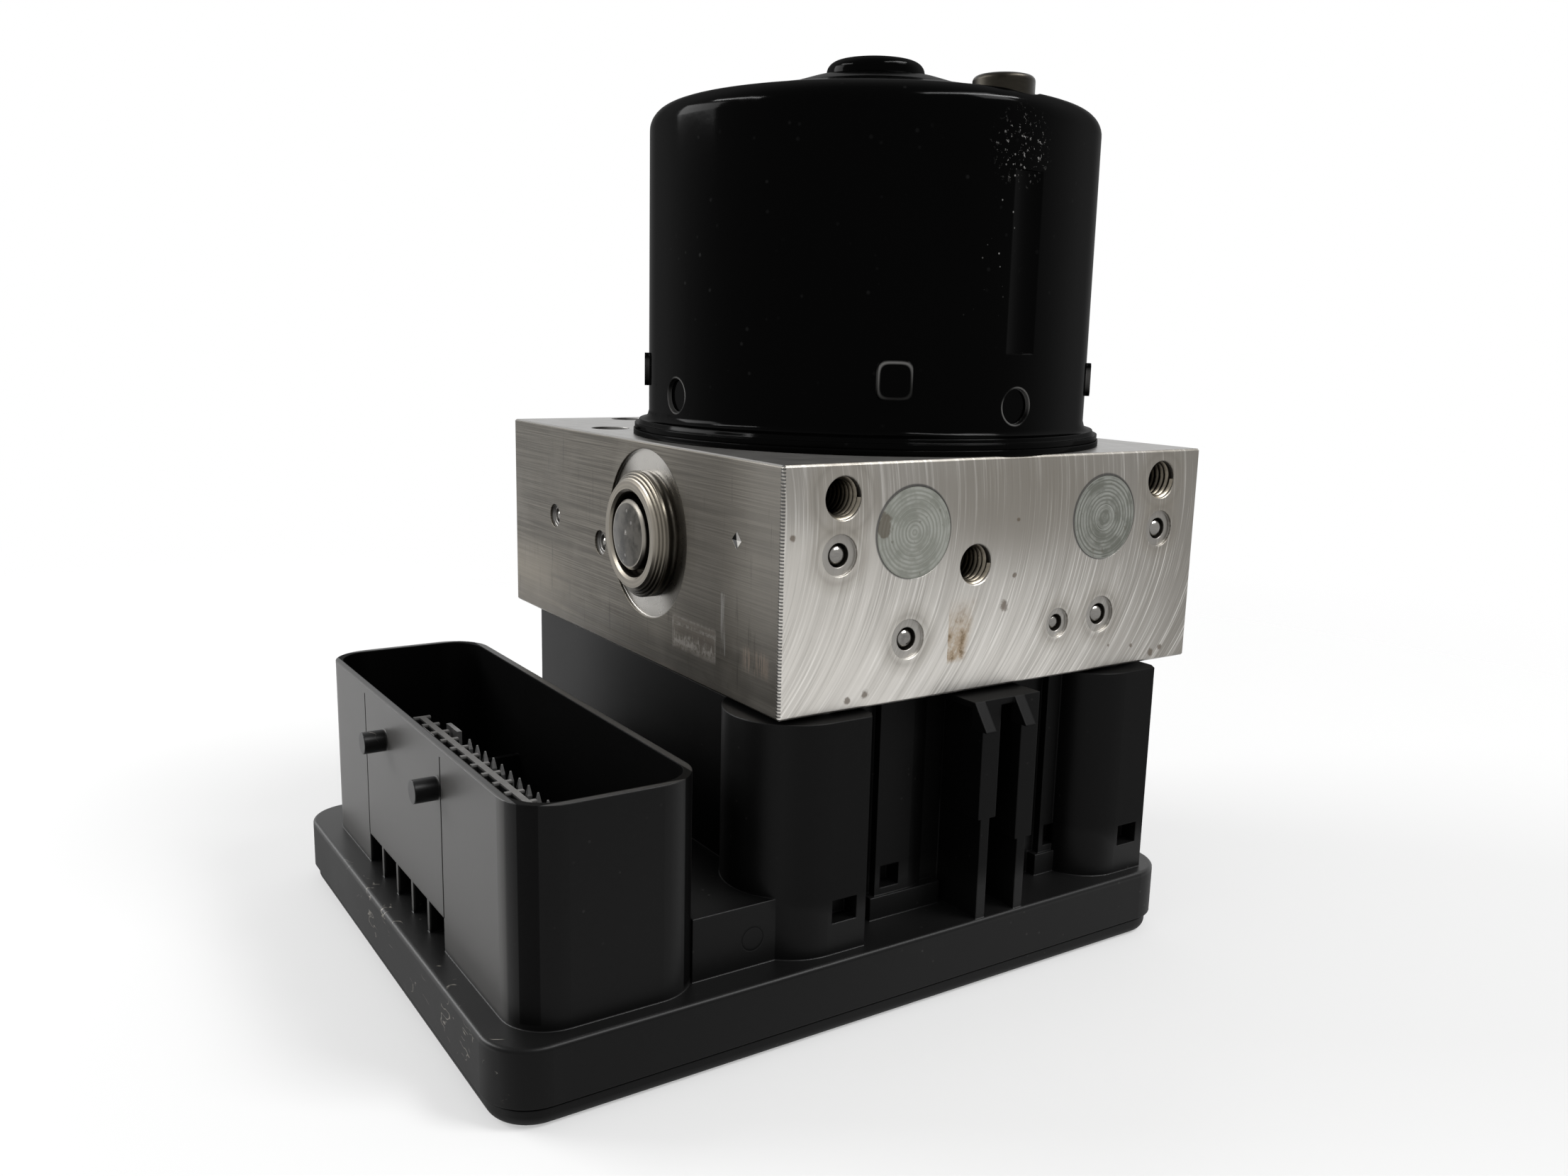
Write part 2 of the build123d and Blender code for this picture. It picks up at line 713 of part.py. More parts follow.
slot_middle = core_radius - slot_depth / 2
with BuildPart() as armature_core:
    with BuildSketch(Plane.XY.offset(block_top + core_bottom)):
        with Locations((motor_x, motor_y)):
            Circle(core_radius)
            Circle(shaft_radius + press_gap, mode=Mode.SUBTRACT)
            with PolarLocations(slot_middle, slot_count):
                SlotOverall(slot_depth, slot_width, mode=Mode.SUBTRACT)
            with PolarLocations(core_radius, slot_count):
                Rectangle(slot_width, 1.6, mode=Mode.SUBTRACT)
    extrude(amount=core_top - core_bottom)
armature_core.part.label = "armature_core"

winding_overhang = 3.2
with BuildPart() as armature_winding:
    with BuildSketch(Plane.XY.offset(block_top + core_bottom - winding_overhang)):
        with Locations((motor_x, motor_y)):
            Circle(core_radius - 1.6)
            Circle(commutator_radius + 1.5, mode=Mode.SUBTRACT)
    extrude(amount=winding_overhang - seat_gap)
    with BuildSketch(Plane.XY.offset(block_top + core_top + seat_gap)):
        with Locations((motor_x, motor_y)):
            Circle(core_radius - 1.6)
            Circle(commutator_radius + 1.5, mode=Mode.SUBTRACT)
    extrude(amount=winding_overhang - seat_gap)
    with BuildSketch(Plane.XY.offset(block_top + core_bottom - winding_overhang)):
        with Locations((motor_x, motor_y)):
            with PolarLocations(slot_middle, slot_count):
                SlotOverall(slot_depth - 2 * seat_gap, slot_width - 2 * seat_gap)
    extrude(amount=core_top - core_bottom + 2 * winding_overhang)
armature_winding.part.label = "armature_winding"

segment_count = 10
with BuildPart() as commutator:
    with BuildSketch(Plane.XY.offset(block_top + commutator_bottom)):
        with Locations((motor_x, motor_y)):
            Circle(commutator_radius)
            Circle(shaft_radius + press_gap, mode=Mode.SUBTRACT)
            with PolarLocations(commutator_radius, segment_count):
                Rectangle(1.6, 0.5, mode=Mode.SUBTRACT)
    extrude(amount=commutator_top - commutator_bottom)
commutator.part.label = "commutator"

# Valve cartridges pressed into the block, with domes that reach down into the coils
valve_pieces = []
coil_pieces = []
coil_gap = seat_gap
coil_top = housing_top - 1.0
coil_bottom = coil_top - coil_height
pin_offset = coil_radius - 2.0
board_thickness = 1.6
board_top = tray_top - tray_roof - 1.0
board_bottom = board_top - board_thickness
for name, row_y in (("inlet", inlet_y), ("outlet", outlet_y)):
    row = [(x, row_y) for x in valve_xs]
    with BuildPart() as valves:
        with BuildSketch(Plane.XY.offset(block_bottom)):
            with Locations(*row):
                Circle(valve_body_radius)
        extrude(amount=valve_body_depth - seat_gap)
        with BuildSketch(Plane.XY.offset(block_bottom)):
            with Locations(*row):
                Circle(valve_dome_radius)
        extrude(amount=-valve_dome_length)
        tips = valves.edges().filter_by(GeomType.CIRCLE).group_by(Axis.Z)[0]
        fillet(tips, valve_dome_radius * 0.6)
    valves.part.label = name + "_valves"
    valve_pieces.append(valves.part)

    with BuildPart() as coils:
        with BuildSketch(Plane.XY.offset(coil_bottom)):
            with Locations(*row):
                Circle(coil_winding_radius)
        extrude(amount=coil_height)
        for flange_z in (coil_bottom, coil_top - coil_flange_thickness):
            with BuildSketch(Plane.XY.offset(flange_z)):
                with Locations(*row):
                    Circle(coil_radius)
            extrude(amount=coil_flange_thickness)
        with BuildSketch(Plane.XY.offset(coil_bottom)):
            with Locations(*row):
                with Locations((-pin_offset, 0), (pin_offset, 0)):
                    Rectangle(coil_pin_side, coil_pin_side)
        extrude(amount=board_bottom - 0.8 - coil_bottom)
        with BuildSketch(Plane.XY.offset(coil_bottom)):
            with Locations(*row):
                Circle(valve_dome_radius + coil_gap)
        extrude(amount=coil_height, mode=Mode.SUBTRACT)
    coils.part.label = name + "_coils"
    coil_pieces.append(coils.part)

# Electronics housing: tray, coil housing with its posts, latch and connector, in one moulding
core_left_inset = 1.2          # from the block's left face to the housing wall
core_right_inset = 8.6
core_front_inset = 5.2
core_back_inset = 9.0
housing_wall = 2.0
front_wall_depth = 10.0        # coil housing wall behind the posts and columns
post_front_proud = 2.6         # posts stand this far in front of the block
post_flat_width = 6.6
post_side_facet = 1.1
post_from_left = [7.5, 65.4]   # the crease between the rounded and the flat part
post_rounds = [10.3, 8.2]
post_depth = 16.0
window_width = 4.3
window_height = 3.5
window_above_tray = 4.7
window_from_crease = 0.7
column_from_left = [20.6, 54.5]
column_widths = [11.2, 6.5]
column_rounds = [4.8, 3.0]
column_front = 3.8             # behind the block's front face
column_window_width = 3.5
column_window_from_left = 1.0
rib_from_left = 36.4
rib_width = 1.9
rib_front = 4.6
ledge_height = 3.6
ledge_front = 3.3
ledge_overhang = 1.1
latch_from_left = [33.5, 41.2]
latch_rib_width = 3.4
latch_narrow_width = 1.7
latch_narrow_shift = 0.5
latch_narrow_heights = [16.0, 11.5]
hook_from_left = [31.6, 39.4]
hook_width = 2.0
hook_drop = 4.0
hook_bar_height = 1.0

connector_length = 88.9
connector_width = 26.8
connector_from_tray_left = 3.8
connector_from_tray_front = 2.7
connector_corner = 6.8
connector_wall = 1.2
connector_height = 30.0
connector_floor = 7.6          # above the tray
bridge_height = 9.2
bridge_front_inset = 0.2       # behind the block's front face
bridge_depth = 84.0
stud_radius = 1.7
stud_length = 3.5
stud_from_front = [27.8, 52.6]
stud_below_rim = 6.2
seam_from_front = [26.1, 63.0]
seam_width = 0.35
seam_depth = 0.3
vent_height = 5.0
vent_depth = 3.0
vent_rib_count = 4
vent_rib_width = 0.9

connector_left = tray_left + connector_from_tray_left
connector_right = connector_left + connector_width
connector_front = tray_front + connector_from_tray_front
connector_mid = (connector_left + connector_width / 2, connector_front + connector_length / 2)
connector_rim = tray_top + connector_height
cavity_floor = tray_top + connector_floor
core_left = block_left + core_left_inset
core_right = block_right - core_right_inset
core_front = block_front + core_front_inset
core_back = block_back - core_back_inset
core_mid = ((core_left + core_right) / 2, (core_front + core_back) / 2)
core_length = core_right - core_left
core_depth = core_back - core_front
post_front = block_front - post_front_proud

# Signal pins in two rows with a comb rib between them, and two wide power blades
pin_columns = 15
pin_pitch = 3.68
pin_side = 0.8
pin_row_from_right = 10.9
pin_row_gap = 4.8
first_pin_from_front = 7.8     # behind the block's front face
pin_height = 12.0
pin_point = 1.6
blade_width = 5.6
blade_thickness = 0.8
blade_from_front = 67.0
divider_from_front = 62.6
divider_height = 7.0
divider_thickness = 0.9
comb_width = 1.1
comb_height = 11.6
comb_tooth_length = 3.0
comb_tooth_width = 0.8
comb_start = 9.0
comb_end = 77.0
comb_tooth_count = 14

pin_row_x = connector_right - pin_row_from_right
pin_rows = (pin_row_x, pin_row_x - pin_row_gap)
comb_x = sum(pin_rows) / 2
pin_ys = [block_front + first_pin_from_front + n * pin_pitch for n in range(pin_columns)]
pin_places = [(row_x, pin_y) for row_x in pin_rows for pin_y in pin_ys]
blade_places = [(row_x, block_front + blade_from_front) for row_x in pin_rows]
comb_mid_y = block_front + (comb_start + comb_end) / 2

with BuildPart() as ecu_housing:
    with BuildSketch(Plane.XY.offset(tray_bottom)):
        with Locations(tray_mid):
            RectangleRounded(tray_length, tray_width, tray_corner)
    extrude(amount=tray_height)
    fillet(ecu_housing.edges().group_by(Axis.Z)[-1], tray_edge_round)
    # Coil housing
    with BuildSketch(Plane.XY.offset(tray_top)):
        for from_left, post_round in zip(post_from_left, post_rounds):
            crease_x = block_left + from_left
            flat_end = crease_x + post_flat_width
            post_right = flat_end + post_side_facet
            with Locations((crease_x, post_front + post_round)):
                Circle(post_round)
            with Locations((crease_x + post_round / 2, post_front + post_round)):
                Rectangle(post_round, 2 * post_round, mode=Mode.SUBTRACT)
            with BuildLine():
                Polyline(
                    (crease_x, post_front),
                    (flat_end, post_front),
                    (post_right, post_front + 1.5 * post_side_facet),
                    (post_right, post_front + post_depth),
                    (crease_x, post_front + post_depth),
                    close=True,
                )
            make_face()
        with Locations(core_mid):
            Rectangle(core_length, core_depth)
        for from_left, width, corner in zip(column_from_left, column_widths, column_rounds):
            column_right = block_left + from_left + width
            front_y = block_front + column_front
            with Locations((column_right - corner, front_y + corner)):
                Circle(corner)
            with Locations((column_right - corner / 2, front_y + corner * 1.5)):
                Rectangle(corner, corner)
            with Locations((column_right - corner / 2 - width / 2, front_y + corner)):
                Rectangle(width - corner, 2 * corner)
        with Locations((block_left + rib_from_left, (block_front + rib_front + core_front + 1.0) / 2)):
            Rectangle(rib_width, core_front + 1.0 - block_front - rib_front)
        for x, y in screw_places:
            with Locations((x, y)):
                Circle(screw_head_radius + screw_tower_wall)
    extrude(amount=housing_height)
    # Ledges at the foot of the two columns
    with BuildSketch(Plane.XY.offset(tray_top)):
        for from_left, width in zip(column_from_left, column_widths):
            with Locations((block_left + from_left + width / 2, core_front)):
                Rectangle(width + 2 * ledge_overhang, 2 * (core_front_inset - ledge_front))
    extrude(amount=ledge_height)
    # Latch: two upright ribs flush with the tray's front, narrow at the foot
    for from_left, foot_height in zip(latch_from_left, latch_narrow_heights):
        with BuildSketch(Plane.YZ.offset(block_left + from_left + latch_narrow_shift)):
            with BuildLine():
                Polyline(
                    (core_front + 0.5, tray_top - 1.0),
                    (tray_front + tray_edge_round, tray_top - 1.0),
                    (tray_front + tray_edge_round, housing_top - hook_bar_height),
                    (core_front + 0.5, housing_top - hook_bar_height),
                    close=True,
                )
            make_face()
        extrude(amount=latch_narrow_width)
        with BuildSketch(Plane.XY.offset(tray_top + foot_height)):
            with Locations((block_left + from_left + latch_rib_width / 2, (tray_front + core_front) / 2)):
                Rectangle(latch_rib_width, core_front - tray_front - 2 * tray_edge_round)
        extrude(amount=housing_top - hook_bar_height - tray_top - foot_height)
    # Cross bar and the two barbed hooks of the latch
    bar_left = block_left + hook_from_left[0]
    bar_right = block_left + latch_from_left[1] + latch_rib_width
    with BuildSketch(Plane.XY.offset(housing_top - hook_bar_height)):
        with Locations(((bar_left + bar_right) / 2, (tray_front + tray_edge_round + core_front) / 2)):
            Rectangle(bar_right - bar_left, core_front - tray_front - tray_edge_round)
    extrude(amount=hook_bar_height)
    for from_left in hook_from_left:
        with BuildSketch(Plane.YZ.offset(block_left + from_left)):
            with BuildLine():
                Polyline(
                    (tray_front + tray_edge_round + 0.5, housing_top),
                    (tray_front + tray_edge_round, housing_top),
                    (tray_front - hook_proud, housing_top - hook_drop),
                    (tray_front + tray_edge_round + 0.5, housing_top - hook_drop),
                    close=True,
                )
            make_face()
        extrude(amount=hook_width)
    # Connector shroud and the bridge that joins it to the coil housing
    with BuildSketch(Plane.XY.offset(tray_top)):
        with Locations(connector_mid):
            RectangleRounded(connector_width, connector_length, connector_corner)
    extrude(amount=connector_height)
    with BuildSketch(Plane.XY.offset(tray_top)):
        bridge_front = block_front + bridge_front_inset
        with Locations(((connector_right + core_left) / 2, bridge_front + bridge_depth / 2)):
            Rectangle(core_left - connector_right + 2 * connector_wall, bridge_depth)
    extrude(amount=bridge_height)
    with BuildSketch(Plane(origin=(connector_left, block_front, 0), x_dir=(0, -1, 0), z_dir=(-1, 0, 0))):
        for from_front in stud_from_front:
            with Locations((-from_front, connector_rim - stud_below_rim)):
                Circle(stud_radius)
    extrude(amount=stud_length)
    # Connector cavity
    with BuildSketch(Plane.XY.offset(cavity_floor)):
        with Locations(connector_mid):
            RectangleRounded(
                connector_width - 2 * connector_wall,
                connector_length - 2 * connector_wall,
                connector_corner - connector_wall,
            )
    extrude(amount=connector_rim - cavity_floor, mode=Mode.SUBTRACT)
    # Low divider between the signal pins and the blades
    with BuildSketch(Plane.XY.offset(cavity_floor)):
        divider_left = comb_x + comb_tooth_length / 2 + seat_gap
        divider_right = connector_right - connector_wall / 2
        with Locations(((divider_left + divider_right) / 2, block_front + divider_from_front)):
            Rectangle(divider_right - divider_left, divider_thickness)
    extrude(amount=divider_height)
    # Mould seams and the ribbed vents in the connector's outer wall
    side_plane = Plane(origin=(connector_left, block_front, 0), x_dir=(0, -1, 0), z_dir=(-1, 0, 0))
    seam_top = connector_rim - 1.2
    seam_bottom = tray_top + vent_height
    with BuildSketch(side_plane):
        for from_front in seam_from_front:
            with Locations((-from_front, (seam_top + seam_bottom) / 2)):
                Rectangle(seam_width, seam_top - seam_bottom)
    extrude(amount=-seam_depth, mode=Mode.SUBTRACT)
    vent_length = seam_from_front[1] - seam_from_front[0]
    cell_length = (vent_length - vent_rib_count * vent_rib_width) / (vent_rib_count + 1)
    with BuildSketch(side_plane):
        with Locations((-sum(seam_from_front) / 2, tray_top + vent_height / 2)):
            with GridLocations(cell_length + vent_rib_width, 0, vent_rib_count + 1, 1):
                Rectangle(cell_length, vent_height)
    extrude(amount=-vent_depth, mode=Mode.SUBTRACT)
    # Windows in the posts and columns
    window_z = tray_top + window_above_tray + window_height / 2
    for from_left in post_from_left:
        window_x = block_left + from_left + window_from_crease + window_width / 2
        with BuildSketch(Plane(origin=(window_x, post_front, window_z), x_dir=(1, 0, 0), z_dir=(0, -1, 0))):
            Rectangle(window_width, window_height)
        extrude(amount=-housing_wall * 1.5, mode=Mode.SUBTRACT)
    for from_left in column_from_left:
        window_x = block_left + from_left + column_window_from_left + column_window_width / 2
        with BuildSketch(
            Plane(origin=(window_x, block_front + column_front, window_z), x_dir=(1, 0, 0), z_dir=(0, -1, 0))
        ):
            Rectangle(column_window_width, window_height)
        extrude(amount=-housing_wall * 1.5, mode=Mode.SUBTRACT)
    # Coil room, open at the top under the block
    room_left = core_left + housing_wall
    room_right = core_right - housing_wall
    room_front = core_front + front_wall_depth
    room_back = core_back - housing_wall
    with BuildSketch(Plane.XY.offset(tray_top)):
        with Locations(((room_left + room_right) / 2, (room_front + room_back) / 2)):
            Rectangle(room_right - room_left, room_back - room_front)
        for x, y in screw_places:
            with Locations((x, y)):
                Circle(screw_head_radius + screw_tower_wall, mode=Mode.SUBTRACT)
    extrude(amount=housing_height, mode=Mode.SUBTRACT)
    # Board room, open at the bottom
    with BuildSketch(Plane.XY.offset(tray_bottom)):
        with Locations(tray_mid):
            RectangleRounded(
                tray_length - 2 * tray_wall, tray_width - 2 * tray_wall, tray_corner - tray_wall
            )
        for x, y in screw_places:
            with Locations((x, y)):
                Circle(screw_head_radius + screw_tower_wall, mode=Mode.SUBTRACT)
    extrude(amount=tray_height - tray_roof, mode=Mode.SUBTRACT)
    # Holes for coil pins, connector contacts, the motor terminals and the screws
    with BuildSketch(Plane.XY.offset(tray_top - tray_roof)):
        with Locations(*valve_places):
            with Locations((-pin_offset, 0), (pin_offset, 0)):
                Rectangle(coil_pin_side + 0.4, coil_pin_side + 0.4)
        with Locations(terminal_place):
            Circle(terminal_bore_radius)
    extrude(amount=tray_roof, mode=Mode.SUBTRACT)
    with BuildSketch(Plane.XY.offset(tray_top - tray_roof)):
        with Locations(*pin_places):
            Rectangle(pin_side + 2 * press_gap, pin_side + 2 * press_gap)
        with Locations(*blade_places):
            Rectangle(blade_thickness + 2 * press_gap, blade_width + 2 * press_gap)
    extrude(amount=cavity_floor - tray_top + tray_roof, mode=Mode.SUBTRACT)
    with BuildSketch(Plane.XY.offset(tray_bottom)):
        with Locations(*screw_places):
            Circle(screw_radius + slip_gap)
    extrude(amount=housing_top - tray_bottom, mode=Mode.SUBTRACT)
    with BuildSketch(Plane.XY.offset(tray_bottom)):
        with Locations(*screw_places):
            Circle(screw_head_radius + seat_gap)
    extrude(amount=screw_head_seat - tray_bottom, mode=Mode.SUBTRACT)
ecu_housing.part.label = "ecu_housing"

# Cover under the board room: a stepped plate whose neck leaves the dark seam
with BuildPart() as ecu_cover:
    with BuildSketch(Plane.XY):
        with Locations(tray_mid):
            RectangleRounded(
                tray_length - 2 * cover_inset, tray_width - 2 * cover_inset, tray_corner - cover_inset
            )
    extrude(amount=cover_height)
    fillet(ecu_cover.edges().group_by(Axis.Z)[0], cover_corner_round)
    with BuildSketch(Plane.XY.offset(cover_height)):
        with Locations(tray_mid):
            RectangleRounded(
                tray_length - 2 * seam_inset, tray_width - 2 * seam_inset, tray_corner - seam_inset
            )
    extrude(amount=seam_height)
    with BuildSketch(Plane.XY.offset(cover_height)):
        with Locations(tray_mid):
            RectangleRounded(
                tray_length - 2 * seam_inset - 2 * seam_rim_width,
                tray_width - 2 * seam_inset - 2 * seam_rim_width,
                tray_corner - tray_wall,
            )
        for x, y in screw_places:
            with Locations((x, y)):
                Circle(screw_head_radius + screw_tower_wall, mode=Mode.SUBTRACT)
    extrude(amount=seam_height, mode=Mode.SUBTRACT)
    with BuildSketch(Plane.XY):
        with Locations(*screw_places):
            Circle(screw_head_radius + seat_gap)
    extrude(amount=cover_height + seam_height, mode=Mode.SUBTRACT)
ecu_cover.part.label = "ecu_cover"

with BuildPart() as ecu_screws:
    with BuildSketch(Plane.XY.offset(screw_head_seat - screw_head_height)):
        with Locations(*screw_places):
            Circle(screw_head_radius)
            RegularPolygon(screw_radius * 0.9, 6, mode=Mode.SUBTRACT)
    extrude(amount=screw_head_height)
    with BuildSketch(Plane.XY.offset(screw_head_seat - screw_head_height / 2)):
        with Locations(*screw_places):
            Circle(screw_radius)
    extrude(amount=block_bottom + screw_block_depth - screw_head_seat + screw_head_height / 2)
ecu_screws.part.label = "ecu_screws"

# Gasket between the coil housing and the block
with BuildPart() as housing_gasket:
    with BuildSketch(Plane.XY.offset(housing_top)):
        with Locations(((room_left + room_right) / 2, (room_front + room_back) / 2)):
            Rectangle(room_right - room_left + 2.4, room_back - room_front + 2.4)
            Rectangle(room_right - room_left, room_back - room_front, mode=Mode.SUBTRACT)
        for x, y in screw_places:
            with Locations((x, y)):
                Circle(screw_radius + slip_gap, mode=Mode.SUBTRACT)
    extrude(amount=gasket_thickness)
housing_gasket.part.label = "housing_gasket"

# Circuit board with its larger components on the underside
board_margin = 1.0
with BuildPart() as circuit_board:
    with BuildSketch(Plane.XY.offset(board_bottom)):
        with Locations(tray_mid):
            RectangleRounded(
                tray_length - 2 * tray_wall - 2 * board_margin,
                tray_width - 2 * tray_wall - 2 * board_margin,
                tray_corner - tray_wall,
            )
        for x, y in screw_places:
            with Locations((x, y)):
                Circle(screw_head_radius + screw_tower_wall + board_margin, mode=Mode.SUBTRACT)
        with Locations(*valve_places):
            with Locations((-pin_offset, 0), (pin_offset, 0)):
                Rectangle(coil_pin_side + 0.2, coil_pin_side + 0.2, mode=Mode.SUBTRACT)
        with Locations(*pin_places):
            Rectangle(pin_side + 0.2, pin_side + 0.2, mode=Mode.SUBTRACT)
        with Locations(*blade_places):
            Rectangle(blade_thickness + 0.2, blade_width + 0.2, mode=Mode.SUBTRACT)
        with Locations(terminal_place):
            with Locations((-terminal_offset, 0), (terminal_offset, 0)):
                Rectangle(terminal_side + 0.2, terminal_side + 0.2, mode=Mode.SUBTRACT)
    extrude(amount=board_thickness)
circuit_board.part.label = "circuit_board"

# Comb between the pin rows: a light strip with cross teeth
with BuildPart() as pin_comb:
    with BuildSketch(Plane.XY.offset(cavity_floor)):
        with Locations((comb_x, comb_mid_y)):
            Rectangle(comb_width, comb_end - comb_start)
            with GridLocations(0, (comb_end - comb_start) / comb_tooth_count, 1, comb_tooth_count + 1):
                Rectangle(comb_tooth_length, comb_tooth_width)
    extrude(amount=comb_height)
pin_comb.part.label = "pin_comb"

pin_foot = board_bottom - 0.8
pin_shoulder = cavity_floor + pin_height - pin_point
with BuildPart() as signal_pins:
    with BuildSketch(Plane.XY.offset(pin_foot)):
        with Locations(*pin_places):
            Rectangle(pin_side, pin_side)
    extrude(amount=pin_shoulder - pin_foot)
    with BuildSketch(Plane.XY.offset(pin_shoulder)):
        with Locations(*pin_places):
            Rectangle(pin_side, pin_side)
    extrude(amount=pin_point, taper=10)
signal_pins.part.label = "signal_pins"

with BuildPart() as power_blades:
    with BuildSketch(Plane.XY.offset(pin_foot)):
        with Locations(*blade_places):
            Rectangle(blade_thickness, blade_width)
    extrude(amount=cavity_floor + pin_height - pin_foot)
power_blades.part.label = "power_blades"

# Motor supply: two long pins in a plastic sleeve, from the brush plate to the board
with BuildPart() as motor_terminals:
    with BuildSketch(Plane.XY.offset(board_bottom - 0.8)):
        with Locations(terminal_place):
            with Locations((-terminal_offset, 0), (terminal_offset, 0)):
                Rectangle(terminal_side, terminal_side)
    extrude(amount=block_top + brush_plate_bottom - seat_gap - board_bottom + 0.8)
motor_terminals.part.label = "motor_terminals"

with BuildPart() as terminal_sleeve:
    with BuildSketch(Plane.XY.offset(tray_top)):
        with Locations(terminal_place):
            Circle(terminal_bore_radius - seat_gap)
            with Locations((-terminal_offset, 0), (terminal_offset, 0)):
                Rectangle(terminal_side + seat_gap, terminal_side + seat_gap, mode=Mode.SUBTRACT)
    extrude(amount=block_top - tray_top - seat_gap)
terminal_sleeve.part.label = "terminal_sleeve"

pieces = [
    hydraulic_block.part,
    ball_plugs.part,
    accumulator_caps.part,
    *accumulator_pistons,
    *accumulator_springs,
    *pump_pieces,
    motor_end_plate.part,
    motor_can.part,
    motor_bolts.part,
    magnets.part,
    brush_plate.part,
    brushes.part,
    main_bearing.part,
    top_bearing.part,
    motor_shaft.part,
    eccentric_bearing.part,
    armature_core.part,
    armature_winding.part,
    commutator.part,
    *valve_pieces,
    *coil_pieces,
    ecu_housing.part,
    pin_comb.part,
    ecu_cover.part,
    ecu_screws.part,
    housing_gasket.part,
    circuit_board.part,
    signal_pins.part,
    power_blades.part,
    motor_terminals.part,
    terminal_sleeve.part,
]
os.makedirs("parts", exist_ok=True)
for piece in pieces:
    export_step(piece, f"parts/{piece.label}.step")
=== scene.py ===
"""Looks of the brake module: surface finishes, cut threads, floor, light and camera.

Metres, +Z up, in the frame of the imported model. The block's front face looks along -Y.
"""
import math

import bmesh
import bpy
from mathutils import Matrix, Vector


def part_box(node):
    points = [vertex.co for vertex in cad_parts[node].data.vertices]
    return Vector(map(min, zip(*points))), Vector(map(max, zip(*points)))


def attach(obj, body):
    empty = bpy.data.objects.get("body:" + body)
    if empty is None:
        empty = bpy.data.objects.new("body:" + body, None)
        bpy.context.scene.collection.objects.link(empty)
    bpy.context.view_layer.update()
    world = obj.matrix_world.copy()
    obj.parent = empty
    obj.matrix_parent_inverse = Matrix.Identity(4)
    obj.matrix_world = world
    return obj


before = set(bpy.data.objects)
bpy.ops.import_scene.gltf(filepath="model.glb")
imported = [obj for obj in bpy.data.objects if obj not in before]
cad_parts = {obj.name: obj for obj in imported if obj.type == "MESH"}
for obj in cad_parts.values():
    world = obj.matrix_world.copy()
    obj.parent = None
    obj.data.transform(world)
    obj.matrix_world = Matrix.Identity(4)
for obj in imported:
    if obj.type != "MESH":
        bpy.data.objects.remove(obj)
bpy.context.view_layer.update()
MM = 0.001

# Where things are, read from the model
block_low, block_high = (Vector(corner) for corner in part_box("hydraulic_block"))
plate_low, plate_high = (Vector(corner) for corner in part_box("motor_end_plate"))
housing_low = Vector(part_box("ecu_housing")[0])
pump_low, pump_high = (Vector(corner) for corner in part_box("pump_collar_left"))
motor_axis = (plate_low + plate_high) / 2
pump_axis = (pump_low + pump_high) / 2
tray_top = 11.4 * MM  # upper face of the housing's flat tray
# Room inside the connector shroud
shroud_low = Vector((housing_low.x + 4.9 * MM, housing_low.y + 6.0 * MM, tray_top))
shroud_high = Vector((housing_low.x + 29.5 * MM, housing_low.y + 92.9 * MM, tray_top + 29.9 * MM))


def on_block(from_left, from_front, above_bottom):
    """A point given in millimetres from the block's left, front and bottom faces."""
    return block_low + Vector((from_left, from_front, above_bottom)) * MM


def x_at(from_left):
    """x of what lies this many millimetres from the block's left face."""
    return on_block(from_left, 0, 0).x


def y_at(from_front):
    """y of what lies this many millimetres behind the block's front face."""
    return on_block(0, from_front, 0).y


def z_at(above_bottom):
    """z of what lies this many millimetres above the block's bottom face."""
    return on_block(0, 0, above_bottom).z


def side_place(from_front, above_bottom):
    """A place on the block's left face as its y and z."""
    return (y_at(from_front), z_at(above_bottom))


# Ring of an ejector pin on the bridge: from the block's left, front and bottom faces
ejector_place = (-3.3, 0.2, -30.96)
# Punch mark on the left face: from the front, above the bottom
diamond_place = (11.7, 23.4)
# Centres of the two pressed caps on the front face: from the left, above the bottom
cap_places = [(22.4, 24.7), (60.6, 24.8)]
tool_pitch = 0.62 * MM  # of the rings that the lathe tool left on caps and collars
# Holes of the front face, rings round them and pits: from the left, above the bottom, radius
tapped_holes = [(9.9, 30.2, 3.3), (34.3, 19.2, 3.3), (73.2, 30.2, 3.3)]
thread_rings = [(9.9, 30.2, 5.3), (73.2, 30.2, 4.6)]
ball_rings = [(9.5, 22.3, 4.1), (22.0, 9.2, 3.9), (61.0, 9.1, 3.9), (73.4, 22.2, 3.7), (51.7, 8.6, 3.1)]
pits = [
    (42.2, 25.5, 0.5), (42.1, 17.0, 0.45), (40.3, 12.6, 1.0), (68.8, 3.1, 0.5), (63.5, 3.7, 0.35),
    (73.6, 1.4, 0.8), (75.8, 2.0, 0.6), (14.6, 2.1, 0.9), (11.5, 1.5, 0.7), (1.6, 25.2, 0.6),
]


